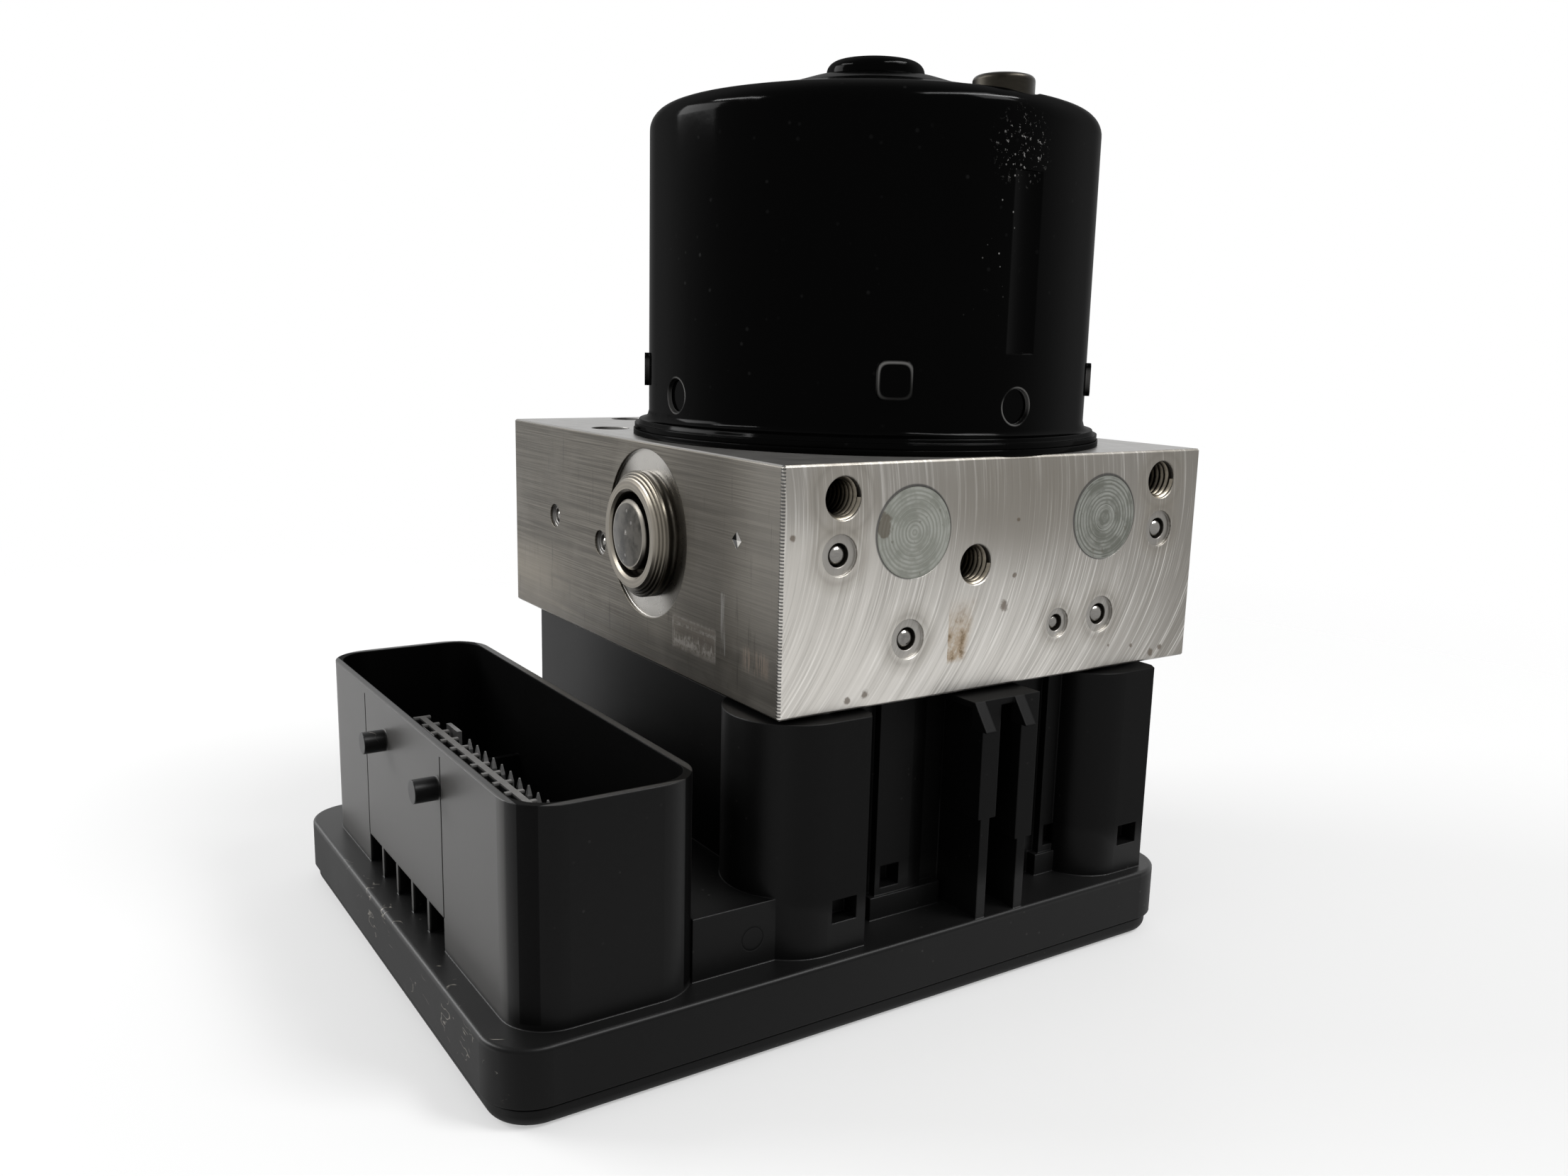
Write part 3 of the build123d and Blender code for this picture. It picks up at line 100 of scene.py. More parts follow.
class Field:
    """One output of a material's nodes, with arithmetic that adds Math nodes."""

    def __init__(self, finish, socket):
        self.finish = finish
        self.socket = socket

    def math(self, operation, *others):
        inputs = dict(enumerate((self, *others)))
        return self.finish.node("ShaderNodeMath", {"operation": operation}, inputs)

    def __add__(self, other):
        return self.math("ADD", other)

    def __sub__(self, other):
        return self.math("SUBTRACT", other)

    def __rsub__(self, other):
        inputs = {0: other, 1: self}
        return self.finish.node("ShaderNodeMath", {"operation": "SUBTRACT"}, inputs)

    def __mul__(self, other):
        return self.math("MULTIPLY", other)

    def __truediv__(self, other):
        return self.math("DIVIDE", other)

    def __pow__(self, other):
        return self.math("POWER", other)

    def sin(self):
        return self.math("SINE")

    def abs(self):
        return self.math("ABSOLUTE")

    def sqrt(self):
        return self.math("SQRT")

    def at_most(self, other):
        return self.math("MINIMUM", other)

    def at_least(self, other):
        return self.math("MAXIMUM", other)

    def ramp(self, start, end, low=0.0, high=1.0):
        """Runs smoothly from low to high while this value runs from start to end."""
        inputs = {
            "Value": self, "From Min": start, "From Max": end, "To Min": low, "To Max": high,
        }
        return self.finish.node("ShaderNodeMapRange", {"interpolation_type": "SMOOTHSTEP"}, inputs)

    def inside(self, low, high, blur):
        """1 between low and high, and 0 further out than the blur."""
        return self.ramp(low - blur, low + blur) * self.ramp(high + blur, high - blur)


class Finish:
    """A surface finish: a Principled shader and the nodes that vary it."""

    def __init__(self, name, **constants):
        self.material = bpy.data.materials.new(name)
        self.material.use_nodes = True
        self.tree = self.material.node_tree
        self.shader = self.tree.nodes["Principled BSDF"]
        for socket, value in constants.items():
            self.set(socket.replace("_", " "), value)

    def node(self, kind, settings=None, inputs=None, output=0):
        made = self.tree.nodes.new(kind)
        for name, value in (settings or {}).items():
            setattr(made, name, value)
        for name, value in (inputs or {}).items():
            self.feed(made.inputs[name], value)
        return Field(self, made.outputs[output])

    def feed(self, socket, value):
        if isinstance(value, Field):
            self.tree.links.new(value.socket, socket)
        elif isinstance(value, tuple) and len(value) == 3 and socket.type == "RGBA":
            socket.default_value = (*value, 1.0)
        else:
            socket.default_value = value

    def set(self, name, value):
        self.feed(self.shader.inputs[name], value)

    def place(self, stretch=(1, 1, 1)):
        """Object coordinates, finer along an axis by its stretch."""
        coordinates = self.node("ShaderNodeTexCoord", output="Object")
        return self.node("ShaderNodeMapping", {}, {"Vector": coordinates, "Scale": stretch})

    def axes(self):
        """The position's x, y and z as three values."""
        place = self.node("ShaderNodeTexCoord", output="Object")
        return [self.node("ShaderNodeSeparateXYZ", {}, {0: place}, output=n) for n in range(3)]

    def noise(self, size, stretch=(1, 1, 1), detail=3.0, roughness=0.55):
        """Noise from 0 to 1 with grains of about this size in millimetres."""
        inputs = {
            "Vector": self.place(stretch), "Scale": 1 / (size * MM),
            "Detail": detail, "Roughness": roughness,
        }
        return self.node("ShaderNodeTexNoise", {}, inputs)

    def spots(self, size, stretch=(1, 1, 1)):
        """Distance from scattered points, 0 at each point, for cells of this size."""
        inputs = {"Vector": self.place(stretch), "Scale": 1 / (size * MM)}
        return self.node("ShaderNodeTexVoronoi", {}, inputs)

    def mix(self, factor, first, second):
        inputs = {0: factor, 6: first, 7: second}
        return self.node("ShaderNodeMix", {"data_type": "RGBA"}, inputs, output=2)

    def bump(self, height, depth, strength=1.0, edge=0.0):
        """Raises the surface by height times a depth, and softens its edges, in millimetres."""
        inputs = {"Height": height, "Distance": depth * MM, "Strength": strength}
        if edge:
            inputs["Normal"] = self.node("ShaderNodeBevel", {"samples": 6}, {"Radius": edge * MM})
        self.set("Normal", self.node("ShaderNodeBump", {}, inputs))

    def dull(self, share, colour):
        """Replaces this share of the surface by a dull one without gloss."""
        inputs = {"Base Color": colour, "Roughness": 0.7, "Specular IOR Level": 0.0}
        matt = self.node("ShaderNodeBsdfPrincipled", {}, inputs)
        inputs = {0: share, 1: Field(self, self.shader.outputs[0]), 2: matt}
        mixed = self.node("ShaderNodeMixShader", {}, inputs)
        self.tree.links.new(mixed.socket, self.tree.nodes["Material Output"].inputs["Surface"])

    def facing(self):
        """0 where the surface faces the eye, 1 where it is seen from its side."""
        return self.node("ShaderNodeLayerWeight", {}, {"Blend": 0.5}, output=1)


def grey(level, warmth=0.0):
    """A grey that warmth turns towards a dull yellow."""
    return (level * (1 + 0.6 * warmth), level, level * (1 - warmth))


def radius_on_face(first, second, centre):
    """Distance from a centre, measured along two of the axes."""
    return ((first - centre[0]) ** 2 + (second - centre[1]) ** 2).sqrt()


def streaks(finish, across, along, width, length, detail=3.0):
    """Noise drawn out into streaks of about this width and length, in millimetres."""
    inputs = {0: across / (width * MM), 1: along / (length * MM), 2: 0.0}
    place = finish.node("ShaderNodeCombineXYZ", {}, inputs)
    inputs = {"Vector": place, "Scale": 1.0, "Detail": detail, "Roughness": 0.65}
    return finish.node("ShaderNodeTexNoise", {}, inputs)


def patch(first, second, low, high, blur=0.25):
    """1 inside a rectangle of two axes given by its low and high corners in metres."""
    return first.inside(low[0], high[0], blur * MM) * second.inside(low[1], high[1], blur * MM)


def front_colour(finish, x, z):
    """Face-milled front: arcs of the cutter, painted light and shade, rings round the holes, pits and
    brown residue.
    """
    cutter_radius = 40 * MM
    smallest_square = (10 * MM) ** 2  # keeps the root real beyond the arc's end
    rise = z - z_at(27)
    phase = x - (cutter_radius**2 - rise * rise).at_least(smallest_square).sqrt()
    broad = streaks(finish, phase, z, 3.2, 60, detail=4)
    arcs = streaks(finish, phase, z, 0.42, 34, detail=5)
    hair = streaks(finish, phase, z, 0.13, 18, detail=4)
    cloud = finish.noise(20, detail=5)
    # Painted light: brighter at the lower left, darker towards the top and the right, mixed with a
    # random cloud of tone
    painted_light_and_cloud = z.ramp(z_at(33), z_at(2)) * 0.85 + cloud * 0.3
    painted_light_and_cloud = painted_light_and_cloud * x.ramp(x_at(98), x_at(30))
    colour = finish.mix(painted_light_and_cloud, grey(0.165, 0.11), grey(0.60, 0.06))
    # Painted light: a further brightening at the lower left
    lower_left = x.ramp(x_at(26), x_at(6)) * z.ramp(z_at(30), z_at(22))
    colour = finish.mix(lower_left * 0.4, colour, grey(0.62, 0.07))
    seen = (cloud.ramp(0.25, 0.55) * 0.7 + 0.3) * z.ramp(z_at(34), z_at(16), 0.45, 1.0)
    colour = finish.mix(broad.ramp(0.62, 0.38) * seen * 0.28, colour, grey(0.16, 0.13))
    colour = finish.mix(arcs.ramp(0.52, 0.66) * seen * 0.46, colour, grey(0.88, 0.04))
    colour = finish.mix(arcs.ramp(0.47, 0.34) * seen * 0.40, colour, grey(0.12, 0.15))
    colour = finish.mix(hair.ramp(0.58, 0.72) * seen * 0.34, colour, grey(0.11, 0.14))
    # Painted shade: a darker zone in the upper middle
    centre = on_block(43, 0, 29)
    away = (((x - centre.x) / 1.8) ** 2 + (z - centre.z) ** 2).sqrt()
    colour = finish.mix(away.ramp(14 * MM, 4 * MM) * 0.45, colour, grey(0.12, 0.2))
    # Discoloured rings round the tapped holes and staked rings round the balls
    for from_left, above, outer in thread_rings + ball_rings:
        hole = on_block(from_left, 0, above)
        radius = radius_on_face(x, z, (hole.x, hole.z)) + (cloud - 0.5) * (1.2 * MM)
        ring = radius.inside((outer - 0.5) * MM, outer * MM, 0.5 * MM)
        halo = radius.ramp((outer + 2.2) * MM, outer * MM)
        colour = finish.mix(halo * 0.25, colour, grey(0.17, 0.2))
        colour = finish.mix(ring * 0.25, colour, grey(0.10, 0.15))
    # Thin dark joints round the two pressed caps, wider at their lower right
    joint_shift = 0.12
    for from_left, above in cap_places:
        cap = on_block(from_left - joint_shift, 0, above + joint_shift)
        radius = radius_on_face(x, z, (cap.x, cap.z))
        joint = radius.inside(6.5 * MM, 6.85 * MM, 0.12 * MM)
        colour = finish.mix(joint * 0.8, colour, grey(0.03))
    # Brown residue under the middle tapped hole, with a straight left edge
    low, high = on_block(29.5, 0, 4.9), on_block(34.6, 0, 15.5)
    slant = x - (z - low.z) * 0.24
    stain = x.ramp(low.x - 0.1 * MM, low.x + 0.1 * MM)
    stain = stain * slant.ramp(high.x - 1.2 * MM, high.x - 2.9 * MM)
    stain = stain * z.ramp(low.z - 0.5 * MM, low.z + 0.6 * MM) * z.ramp(high.z, high.z - 8 * MM)
    blotch = finish.noise(1.9, detail=6, roughness=0.65)
    colour = finish.mix(stain * blotch.ramp(0.22, 0.58) * 0.8, colour, (0.30, 0.215, 0.125))
    colour = finish.mix(stain * blotch.ramp(0.52, 0.66) * 0.85, colour, (0.13, 0.085, 0.045))
    # Pits and small brown marks
    for from_left, above, size in pits:
        pit = on_block(from_left, 0, above)
        radius = radius_on_face(x, z, (pit.x, pit.z)) + (blotch - 0.5) * (2.2 * size * MM)
        spot = radius.ramp(size * MM, size * 0.4 * MM)
        colour = finish.mix(spot * 0.75, colour, (0.09, 0.065, 0.045))
    return colour, arcs, hair


def left_colour(finish, y, z):
    """Drawn left face, painted dark as shade: long horizontal lines, upright smears and a scraped
    rectangle.
    """
    lines = streaks(finish, z, y, 0.22, 30, detail=5)
    bands = streaks(finish, z, y, 1.7, 60)
    cloud = finish.noise(17, detail=5)
    # Painted shade: the whole face is far darker than the front, lighter near the front edge, darker
    # high at the back, lighter low at the back and with darker streaks along the bottom edge
    colour = finish.mix(lines.ramp(0.32, 0.70), grey(0.036, 0.26), grey(0.115, 0.17))
    colour = finish.mix(bands.ramp(0.52, 0.68) * 0.55, colour, grey(0.03, 0.28))
    colour = finish.mix(cloud.ramp(0.48, 0.70) * 0.35, colour, grey(0.14, 0.15))
    near = y.ramp(y_at(18), y_at(1))
    colour = finish.mix(near * 0.55, colour, grey(0.16, 0.10))
    # Painted shade: a dark band behind the pump
    shade = y.inside(y_at(13), y_at(30), 6 * MM)
    colour = finish.mix(shade * 0.5, colour, grey(0.032, 0.2))
    far_high = y.ramp(y_at(45), y_at(90)) * z.ramp(z_at(14), z_at(30))
    colour = finish.mix(far_high * 0.3, colour, grey(0.04, 0.24))
    far_low = y.ramp(y_at(60), y_at(88)) * z.ramp(z_at(16), z_at(6))
    colour = finish.mix(far_low * 0.6, colour, grey(0.21, 0.20))
    low_edge = z.ramp(z_at(8), z_at(1))
    colour = finish.mix(low_edge * bands.ramp(0.62, 0.44) * 0.55, colour, grey(0.055, 0.14))
    # Upright smears
    smears = streaks(finish, y, z, 1.1, 16, detail=4).ramp(0.60, 0.72)
    colour = finish.mix(smears * 0.5, colour, grey(0.022, 0.22))
    # Scraped rectangle, bright below a ragged line, with a narrow scratched strip and a coppery
    # stain in front of it
    scratches = streaks(finish, y, z, 0.35, 7, detail=4)
    rubbed = patch(y, z, side_place(17.2, 4.2), side_place(30.5, 9.3))
    ragged = streaks(finish, y, z, 0.9, 9, detail=6) * (9 * MM) + z_at(2.0)
    mottle = finish.noise(0.9, detail=6, roughness=0.7)
    scraped = (ragged - z).ramp(-0.3 * MM, 0.9 * MM) * z.ramp(z_at(4.2), z_at(5.4))
    colour = finish.mix(rubbed * 0.25, colour, (0.16, 0.135, 0.11))
    flecks = rubbed * scraped * mottle.ramp(0.36, 0.62)
    colour = finish.mix(flecks * 0.55, colour, grey(0.36, 0.08))
    strip = z.inside(z_at(7.9), z_at(8.4), 0.3 * MM) * mottle.ramp(0.42, 0.60)
    colour = finish.mix(rubbed * strip * 0.4, colour, grey(0.30, 0.05))
    rim = rubbed - patch(y, z, side_place(17.6, 4.6), side_place(30.1, 8.9))
    rim = rim.at_least(0) * mottle.ramp(0.35, 0.6)
    colour = finish.mix(rim * 0.25, colour, grey(0.30, 0.05))
    neck = patch(y, z, side_place(14.4, 6.1), side_place(15.8, 15.2))
    colour = finish.mix(neck * scratches.ramp(0.45, 0.60) * 0.4, colour, grey(0.30, 0.03))
    coppery = patch(y, z, side_place(3.0, 5.4), side_place(9.4, 8.4), 0.8)
    colour = finish.mix(coppery * scratches.ramp(0.44, 0.58) * 0.6, colour, (0.30, 0.235, 0.185))
    # Faint squares pressed further back
    square = patch(y, z, side_place(68.8, 4.6), side_place(77.6, 8.0))
    square = square - patch(y, z, side_place(69.6, 5.2), side_place(76.8, 7.4))
    colour = finish.mix(square.at_least(0) * 0.35, colour, grey(0.06, 0.14))
    return colour, lines, scratches * rubbed


def punched_diamond(y, z):
    """Four-sided punch mark: 1 at its middle, falling evenly to its four sides."""
    centre = side_place(*diamond_place)
    half_width = 1.35 * MM
    spread = (y - centre[0]).abs() + (z - centre[1]).abs()
    return (1 - spread / half_width).at_least(0)


def milled_block():
    """Aluminium bar: milled front with cutter arcs and painted light, drawn sides painted dark as
    shade, turned spot face with a painted sheen, painted shade in the bores, ticked edge.
    """
    finish = Finish("milled_aluminium", Metallic=0.82)
    x, y, z = finish.axes()
    front = y.ramp(block_low.y + 0.6 * MM, block_low.y + 0.3 * MM)
    sides = x.ramp(block_low.x + 0.45 * MM, block_low.x + 0.25 * MM)
    sides = (sides + x.ramp(block_high.x - 0.45 * MM, block_high.x - 0.25 * MM)) * (1 - front)
    top = z.ramp(block_high.z - 0.3 * MM, block_high.z - 0.1 * MM)
    bright, arcs, hair = front_colour(finish, x, z)
    # The left face's colour: its drawn lines, and the painted shade that keeps it far darker than the
    # front
    drawn, lines, scratches = left_colour(finish, y, z)
    plain = finish.mix(finish.noise(8, detail=5), grey(0.20, 0.05), grey(0.32, 0.03))
    colour = finish.mix(front, plain, bright)
    colour = finish.mix(sides, colour, drawn)
    shop = finish.mix(streaks(finish, x, y, 0.3, 40, detail=5), grey(0.14, 0.06), grey(0.30, 0.03))
    colour = finish.mix(top * (1 - front), colour, shop)
    # Spot face turned round the pump element, a little below the side face
    round_pump = radius_on_face(y, z, (pump_axis.y, pump_axis.z))
    spot = round_pump.ramp(13.45 * MM, 13.35 * MM)
    spot = spot * x.ramp(block_low.x + 0.2 * MM, block_low.x + 0.4 * MM)
    spot = spot * x.ramp(block_low.x + 0.9 * MM, block_low.x + 0.6 * MM)
    turned = streaks(finish, round_pump, z, 0.3, 90, detail=4)
    # Painted sheen: the turned face is bright above and below its centre and dim beside it
    steep = ((z - pump_axis.z) / round_pump).abs().ramp(0.72, 0.97)
    dim = finish.mix(turned, grey(0.022, 0.2), grey(0.08, 0.18))
    colour = finish.mix(spot, colour, finish.mix(steep * 0.9, dim, grey(0.40, 0.06)))
    # Painted shade inside the holes in the front face, darkest deep in
    for from_left, above, wall in tapped_holes + ball_rings:
        hole = on_block(from_left, 0, above)
        radius = radius_on_face(x, z, (hole.x, hole.z))
        inner = y.ramp(block_low.y + 0.3 * MM, block_low.y + 0.8 * MM)
        inner = inner * radius.ramp((wall + 0.3) * MM, wall * MM)
        inner = inner * y.ramp(block_low.y + 25 * MM, block_low.y + 20 * MM)
        deep = y.ramp(block_low.y + 1 * MM, block_low.y + 6 * MM)
        dark = finish.mix(deep, grey(0.05, 0.25), grey(0.004))
        colour = finish.mix(inner * 0.92, colour, dark)
    # Dark ticks left by the saw along the near upright edge
    tick_pitch = 0.47 * MM
    ticks = (z * (2 * math.pi / tick_pitch)).sin().ramp(-0.15, 0.35)
    edge = x.ramp(block_low.x + 0.85 * MM, block_low.x + 0.7 * MM)
    edge = edge * y.ramp(block_low.y + 0.75 * MM, block_low.y + 0.55 * MM)
    edge = edge * (front * x.ramp(block_low.x + 0.4 * MM, block_low.x + 0.3 * MM) + (1 - front))
    colour = finish.mix(ticks * edge * 0.85, colour, grey(0.05))
    # Painted light and shade on the punch mark: light on the sides that face the front, dark on the
    # others
    diamond = punched_diamond(y, z) * sides
    centre = side_place(*diamond_place)
    lit = (y - centre[0] - (z - centre[1]) * 0.3).ramp(0.1 * MM, -0.1 * MM)
    facets = finish.mix(lit, grey(0.02), grey(0.55, 0.04))
    marked = diamond.ramp(0.02, 0.10) * x.ramp(block_low.x + 2 * MM, block_low.x + 1 * MM)
    colour = finish.mix(marked, colour, facets)
    finish.set("Base Color", colour)
    finish.set("Roughness", sides * 0.05 + finish.noise(3) * 0.14 + 0.27 - spot * 0.06)
    height = (arcs * 0.7 + hair * 0.3) * front + lines * sides * 0.7
    height = height + scratches * 0.5 + turned * spot * 0.6
    finish.bump(height * 0.014 - diamond * 0.75 - ticks * edge * 0.06, 1.0, edge=0.25)
    return finish.material


def around_motor(x, y, degrees):
    """Distances round the motor's wall and out from its axis, for a place at this angle."""
    angle = math.radians(degrees)
    right, back = x - motor_axis.x, y - motor_axis.y
    along = back * math.cos(angle) - right * math.sin(angle)
    return along, right * math.cos(angle) + back * math.sin(angle)


def painted_edge_highlights(x, y, z):
    """Painted highlights along the edges of the can's square tabs and round dimples, stronger on the
    tabs' upper sides.
    """
    tab_degrees, tab_above_block = (-120, -42, 60, 152), 10.7 * MM
    tab_half_width, tab_half_height = 2.55 * MM, 2.7 * MM
    dimple_degrees, dimple_above_block = (-179.7, -88.8, 0.3, 91.2), 7.1 * MM
    dimple_radius = 2.7 * MM
    within_wall, wall = 30 * MM, 34 * MM
    lines = 0.0
    for degrees in tab_degrees:
        along, out = around_motor(x, y, degrees)
        up = z - (block_high.z + tab_above_block)
        reach = ((along / tab_half_width) ** 4 + (up / tab_half_height) ** 4) ** 0.25
        shine = (up - along * 0.4).ramp(-2.6 * MM, 2.6 * MM, 0.1, 0.9)
        line = reach.inside(0.9, 1.02, 0.06) * shine
        lines = line * out.ramp(within_wall, wall) + lines
    for degrees in dimple_degrees:
        along, out = around_motor(x, y, degrees)
        up = z - (block_high.z + dimple_above_block)
        reach = (along * along + up * up).sqrt() / dimple_radius
        shine = (along + up).abs().ramp(0.8 * MM, 3.4 * MM, 0.05, 0.65)
        line = reach.inside(0.98, 1.08, 0.04) * shine
        lines = line * out.ramp(within_wall, wall) + lines
    return lines


def black_paint():
    """Glossy black paint on drawn steel, with faint dust, small chips and painted highlights along the
    edges of its tabs and dimples.
    """
    finish = Finish("glossy_black_paint", IOR=1.08)
    x, y, z = finish.axes()
    dust = finish.spots(2.6).ramp(0.16, 0.05) * finish.noise(18).ramp(0.45, 0.62)
    paint = finish.mix(finish.noise(30, detail=4), grey(0.0004), grey(0.0009))
    colour = finish.mix(dust * 0.14, paint, grey(0.05))
    # A cluster of chips high on the front, and a slanting trail of specks under it
    chip_place = on_block(41.5, 5.0, 79)
    in_front = y.ramp(motor_axis.y, motor_axis.y - 5 * MM)
    away = ((x - chip_place.x) ** 2 + (z - chip_place.z) ** 2).sqrt()
    chips = finish.noise(0.7, detail=6, roughness=0.7).ramp(0.60, 0.63)
    chips = chips * away.ramp(6.5 * MM, 2 * MM) * in_front
    slant = x - (z - chip_place.z) * 0.22
    trail = slant.inside(chip_place.x - 2.5 * MM, chip_place.x + 1.5 * MM, 1.5 * MM)
    trail = trail * finish.spots(1.5).ramp(0.12, 0.06)
    trail = trail * z.inside(chip_place.z - 24 * MM, chip_place.z, 3 * MM) * in_front
    # Painted highlights along the edges of the tabs and dimples, mixed in with the chips from here on
    edges = painted_edge_highlights(x, y, z)
    chips = (chips + trail + edges * 0.75).at_most(1)
    colour = finish.mix(chips, colour, grey(0.24, 0.03))
    finish.set("Base Color", colour)
    finish.set("Roughness", finish.noise(14, detail=5) * 0.08 + dust * 0.3 + 0.05)
    finish.bump(finish.noise(1.6, detail=2) + chips * 2, 0.012, 0.35, edge=0.35)
    finish.dull(finish.facing().ramp(0.35, 0.8) * 0.85 * (1 - chips), grey(0.001))
    return finish.material


def turned_cap():
    """Grey-green caps with the rings of a lathe tool, dark specks and one brown patch."""
    finish = Finish("turned_grey_cap", Metallic=0.5)
    x, _, z = finish.axes()
    (left, left_above), (right, right_above) = cap_places
    middle = (x_at(left) + x_at(right)) / 2
    across = (x - middle).abs() - (right - left) / 2 * MM
    up = z - z_at((left_above + right_above) / 2)
    radius = (across * across + up * up).sqrt()
    drift = finish.noise(1.4, detail=4)
    rings = ((radius + drift * (0.25 * MM)) * (2 * math.pi / tool_pitch)).sin() * 0.5 + 0.5
    fine = streaks(finish, radius, x, 0.16, 30, detail=4)
    colour = finish.mix(finish.noise(5, detail=5), (0.145, 0.152, 0.128), (0.245, 0.25, 0.22))
    right_cap = x.ramp(middle - 5 * MM, middle + 5 * MM)
    colour = finish.mix(right_cap * 0.65, colour, (0.075, 0.078, 0.064))
    worn_rings = rings * finish.noise(2.5, detail=3).ramp(0.35, 0.6)
    colour = finish.mix(worn_rings * 0.42, colour, (0.42, 0.43, 0.40))
    colour = finish.mix(fine.ramp(0.52, 0.66) * 0.42, colour, (0.46, 0.47, 0.44))
    # Brown patch at the left cap's outer edge
    place = on_block(17.0, 0, 25.9)
    away = radius_on_face(x, z * 0.7, (place.x, place.z * 0.7)) + (drift - 0.5) * (2.4 * MM)
    colour = finish.mix(away.ramp(1.5 * MM, 1.0 * MM) * 0.8, colour, (0.085, 0.07, 0.05))
    specks = finish.noise(1.1, detail=5).ramp(0.66, 0.70)
    colour = finish.mix(specks * 0.5, colour, (0.09, 0.08, 0.06))
    finish.set("Base Color", colour)
    finish.set("Roughness", rings * 0.1 + 0.36)
    finish.bump(rings + fine * 0.5, 0.02, 0.5)
    return finish.material


def turned_collar():
    """Pump collars: stepped tool rings on the cone, oily and brown below, bright at the rim."""
    finish = Finish("turned_collar_steel", Metallic=1.0)
    x, y, z = finish.axes()
    radius = radius_on_face(y, z, (pump_axis.y, pump_axis.z))
    middle = (block_low.x + block_high.x) / 2
    out = (x - middle).abs() - (block_high.x - block_low.x) / 2
    grooves = ((radius - out * 0.5) * (2 * math.pi / tool_pitch)).sin() * 0.5 + 0.5
    dirt = finish.noise(3.5, detail=5)
    colour = finish.mix(grooves * 0.6 + dirt * 0.4, grey(0.02, 0.25), grey(0.16, 0.18))
    rim = out.ramp(2.3 * MM, 2.8 * MM)
    colour = finish.mix(rim * 0.5, colour, grey(0.26, 0.15))
    foot = out.ramp(1.5 * MM, 0.9 * MM)
    colour = finish.mix(foot * dirt.ramp(0.30, 0.60) * 0.7, colour, grey(0.05, 0.15))
    finish.set("Base Color", colour)
    finish.set("Roughness", dirt * 0.22 + 0.22)
    finish.bump(grooves * (1 - rim) + dirt * foot, 0.12, 0.7)
    return finish.material


def domed_cap():
    """Pump caps: dark burnished domes with a bright edge and dull spots."""
    finish = Finish("dark_cap_steel", Metallic=1.0)
    _, y, z = finish.axes()
    radius = radius_on_face(y, z, (pump_axis.y, pump_axis.z))
    dirt = finish.noise(2.6, detail=6)
    colour = finish.mix(dirt.ramp(0.35, 0.65), grey(0.016, 0.15), grey(0.065, 0.12))
    colour = finish.mix(finish.spots(1.7).ramp(0.20, 0.12) * 0.6, colour, grey(0.20, 0.06))
    colour = finish.mix(radius.inside(5.0 * MM, 5.5 * MM, 0.12 * MM) * 0.8, colour, grey(0.24, 0.12))
    finish.set("Base Color", colour)
    finish.set("Roughness", dirt * 0.2 + 0.2)
    finish.bump(dirt, 0.02, 0.4)
    return finish.material


def comb_strip():
    """Comb of the connector: black plastic with a painted highlight along its top edge."""
    finish = Finish("comb_strip", IOR=1.24)
    _, _, z = finish.axes()
    comb_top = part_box("pin_comb")[1][2]
    # Painted highlight along the top edge
    pale = z.ramp(comb_top - 0.5 * MM, comb_top - 0.1 * MM) * (finish.noise(2.2) * 0.5 + 0.6)
    finish.set("Base Color", finish.mix(pale, grey(0.012), grey(0.33, 0.03)))
    finish.set("Roughness", finish.noise(1.5) * 0.2 + 0.4)
    finish.bump(finish.noise(0.5), 0.02, 0.3)
    return finish.material


def plain_steel(name, level, roughness=0.3, warmth=0.01):
    """Machined or plated steel with light grain and a few darker specks."""
    finish = Finish(name, Metallic=1.0)
    grain = finish.noise(0.8, stretch=(1, 1, 3), detail=4)
    specks = finish.noise(3, detail=5).ramp(0.58, 0.72)
    colour = finish.mix(grain, grey(level * 0.8, warmth), grey(level * 1.15, warmth))
    colour = finish.mix(specks * 0.5, colour, grey(level * 0.4, warmth))
    finish.set("Base Color", colour)
    finish.set("Roughness", grain * 0.15 + roughness)
    finish.bump(grain, 0.01, 0.4)
    return finish.material


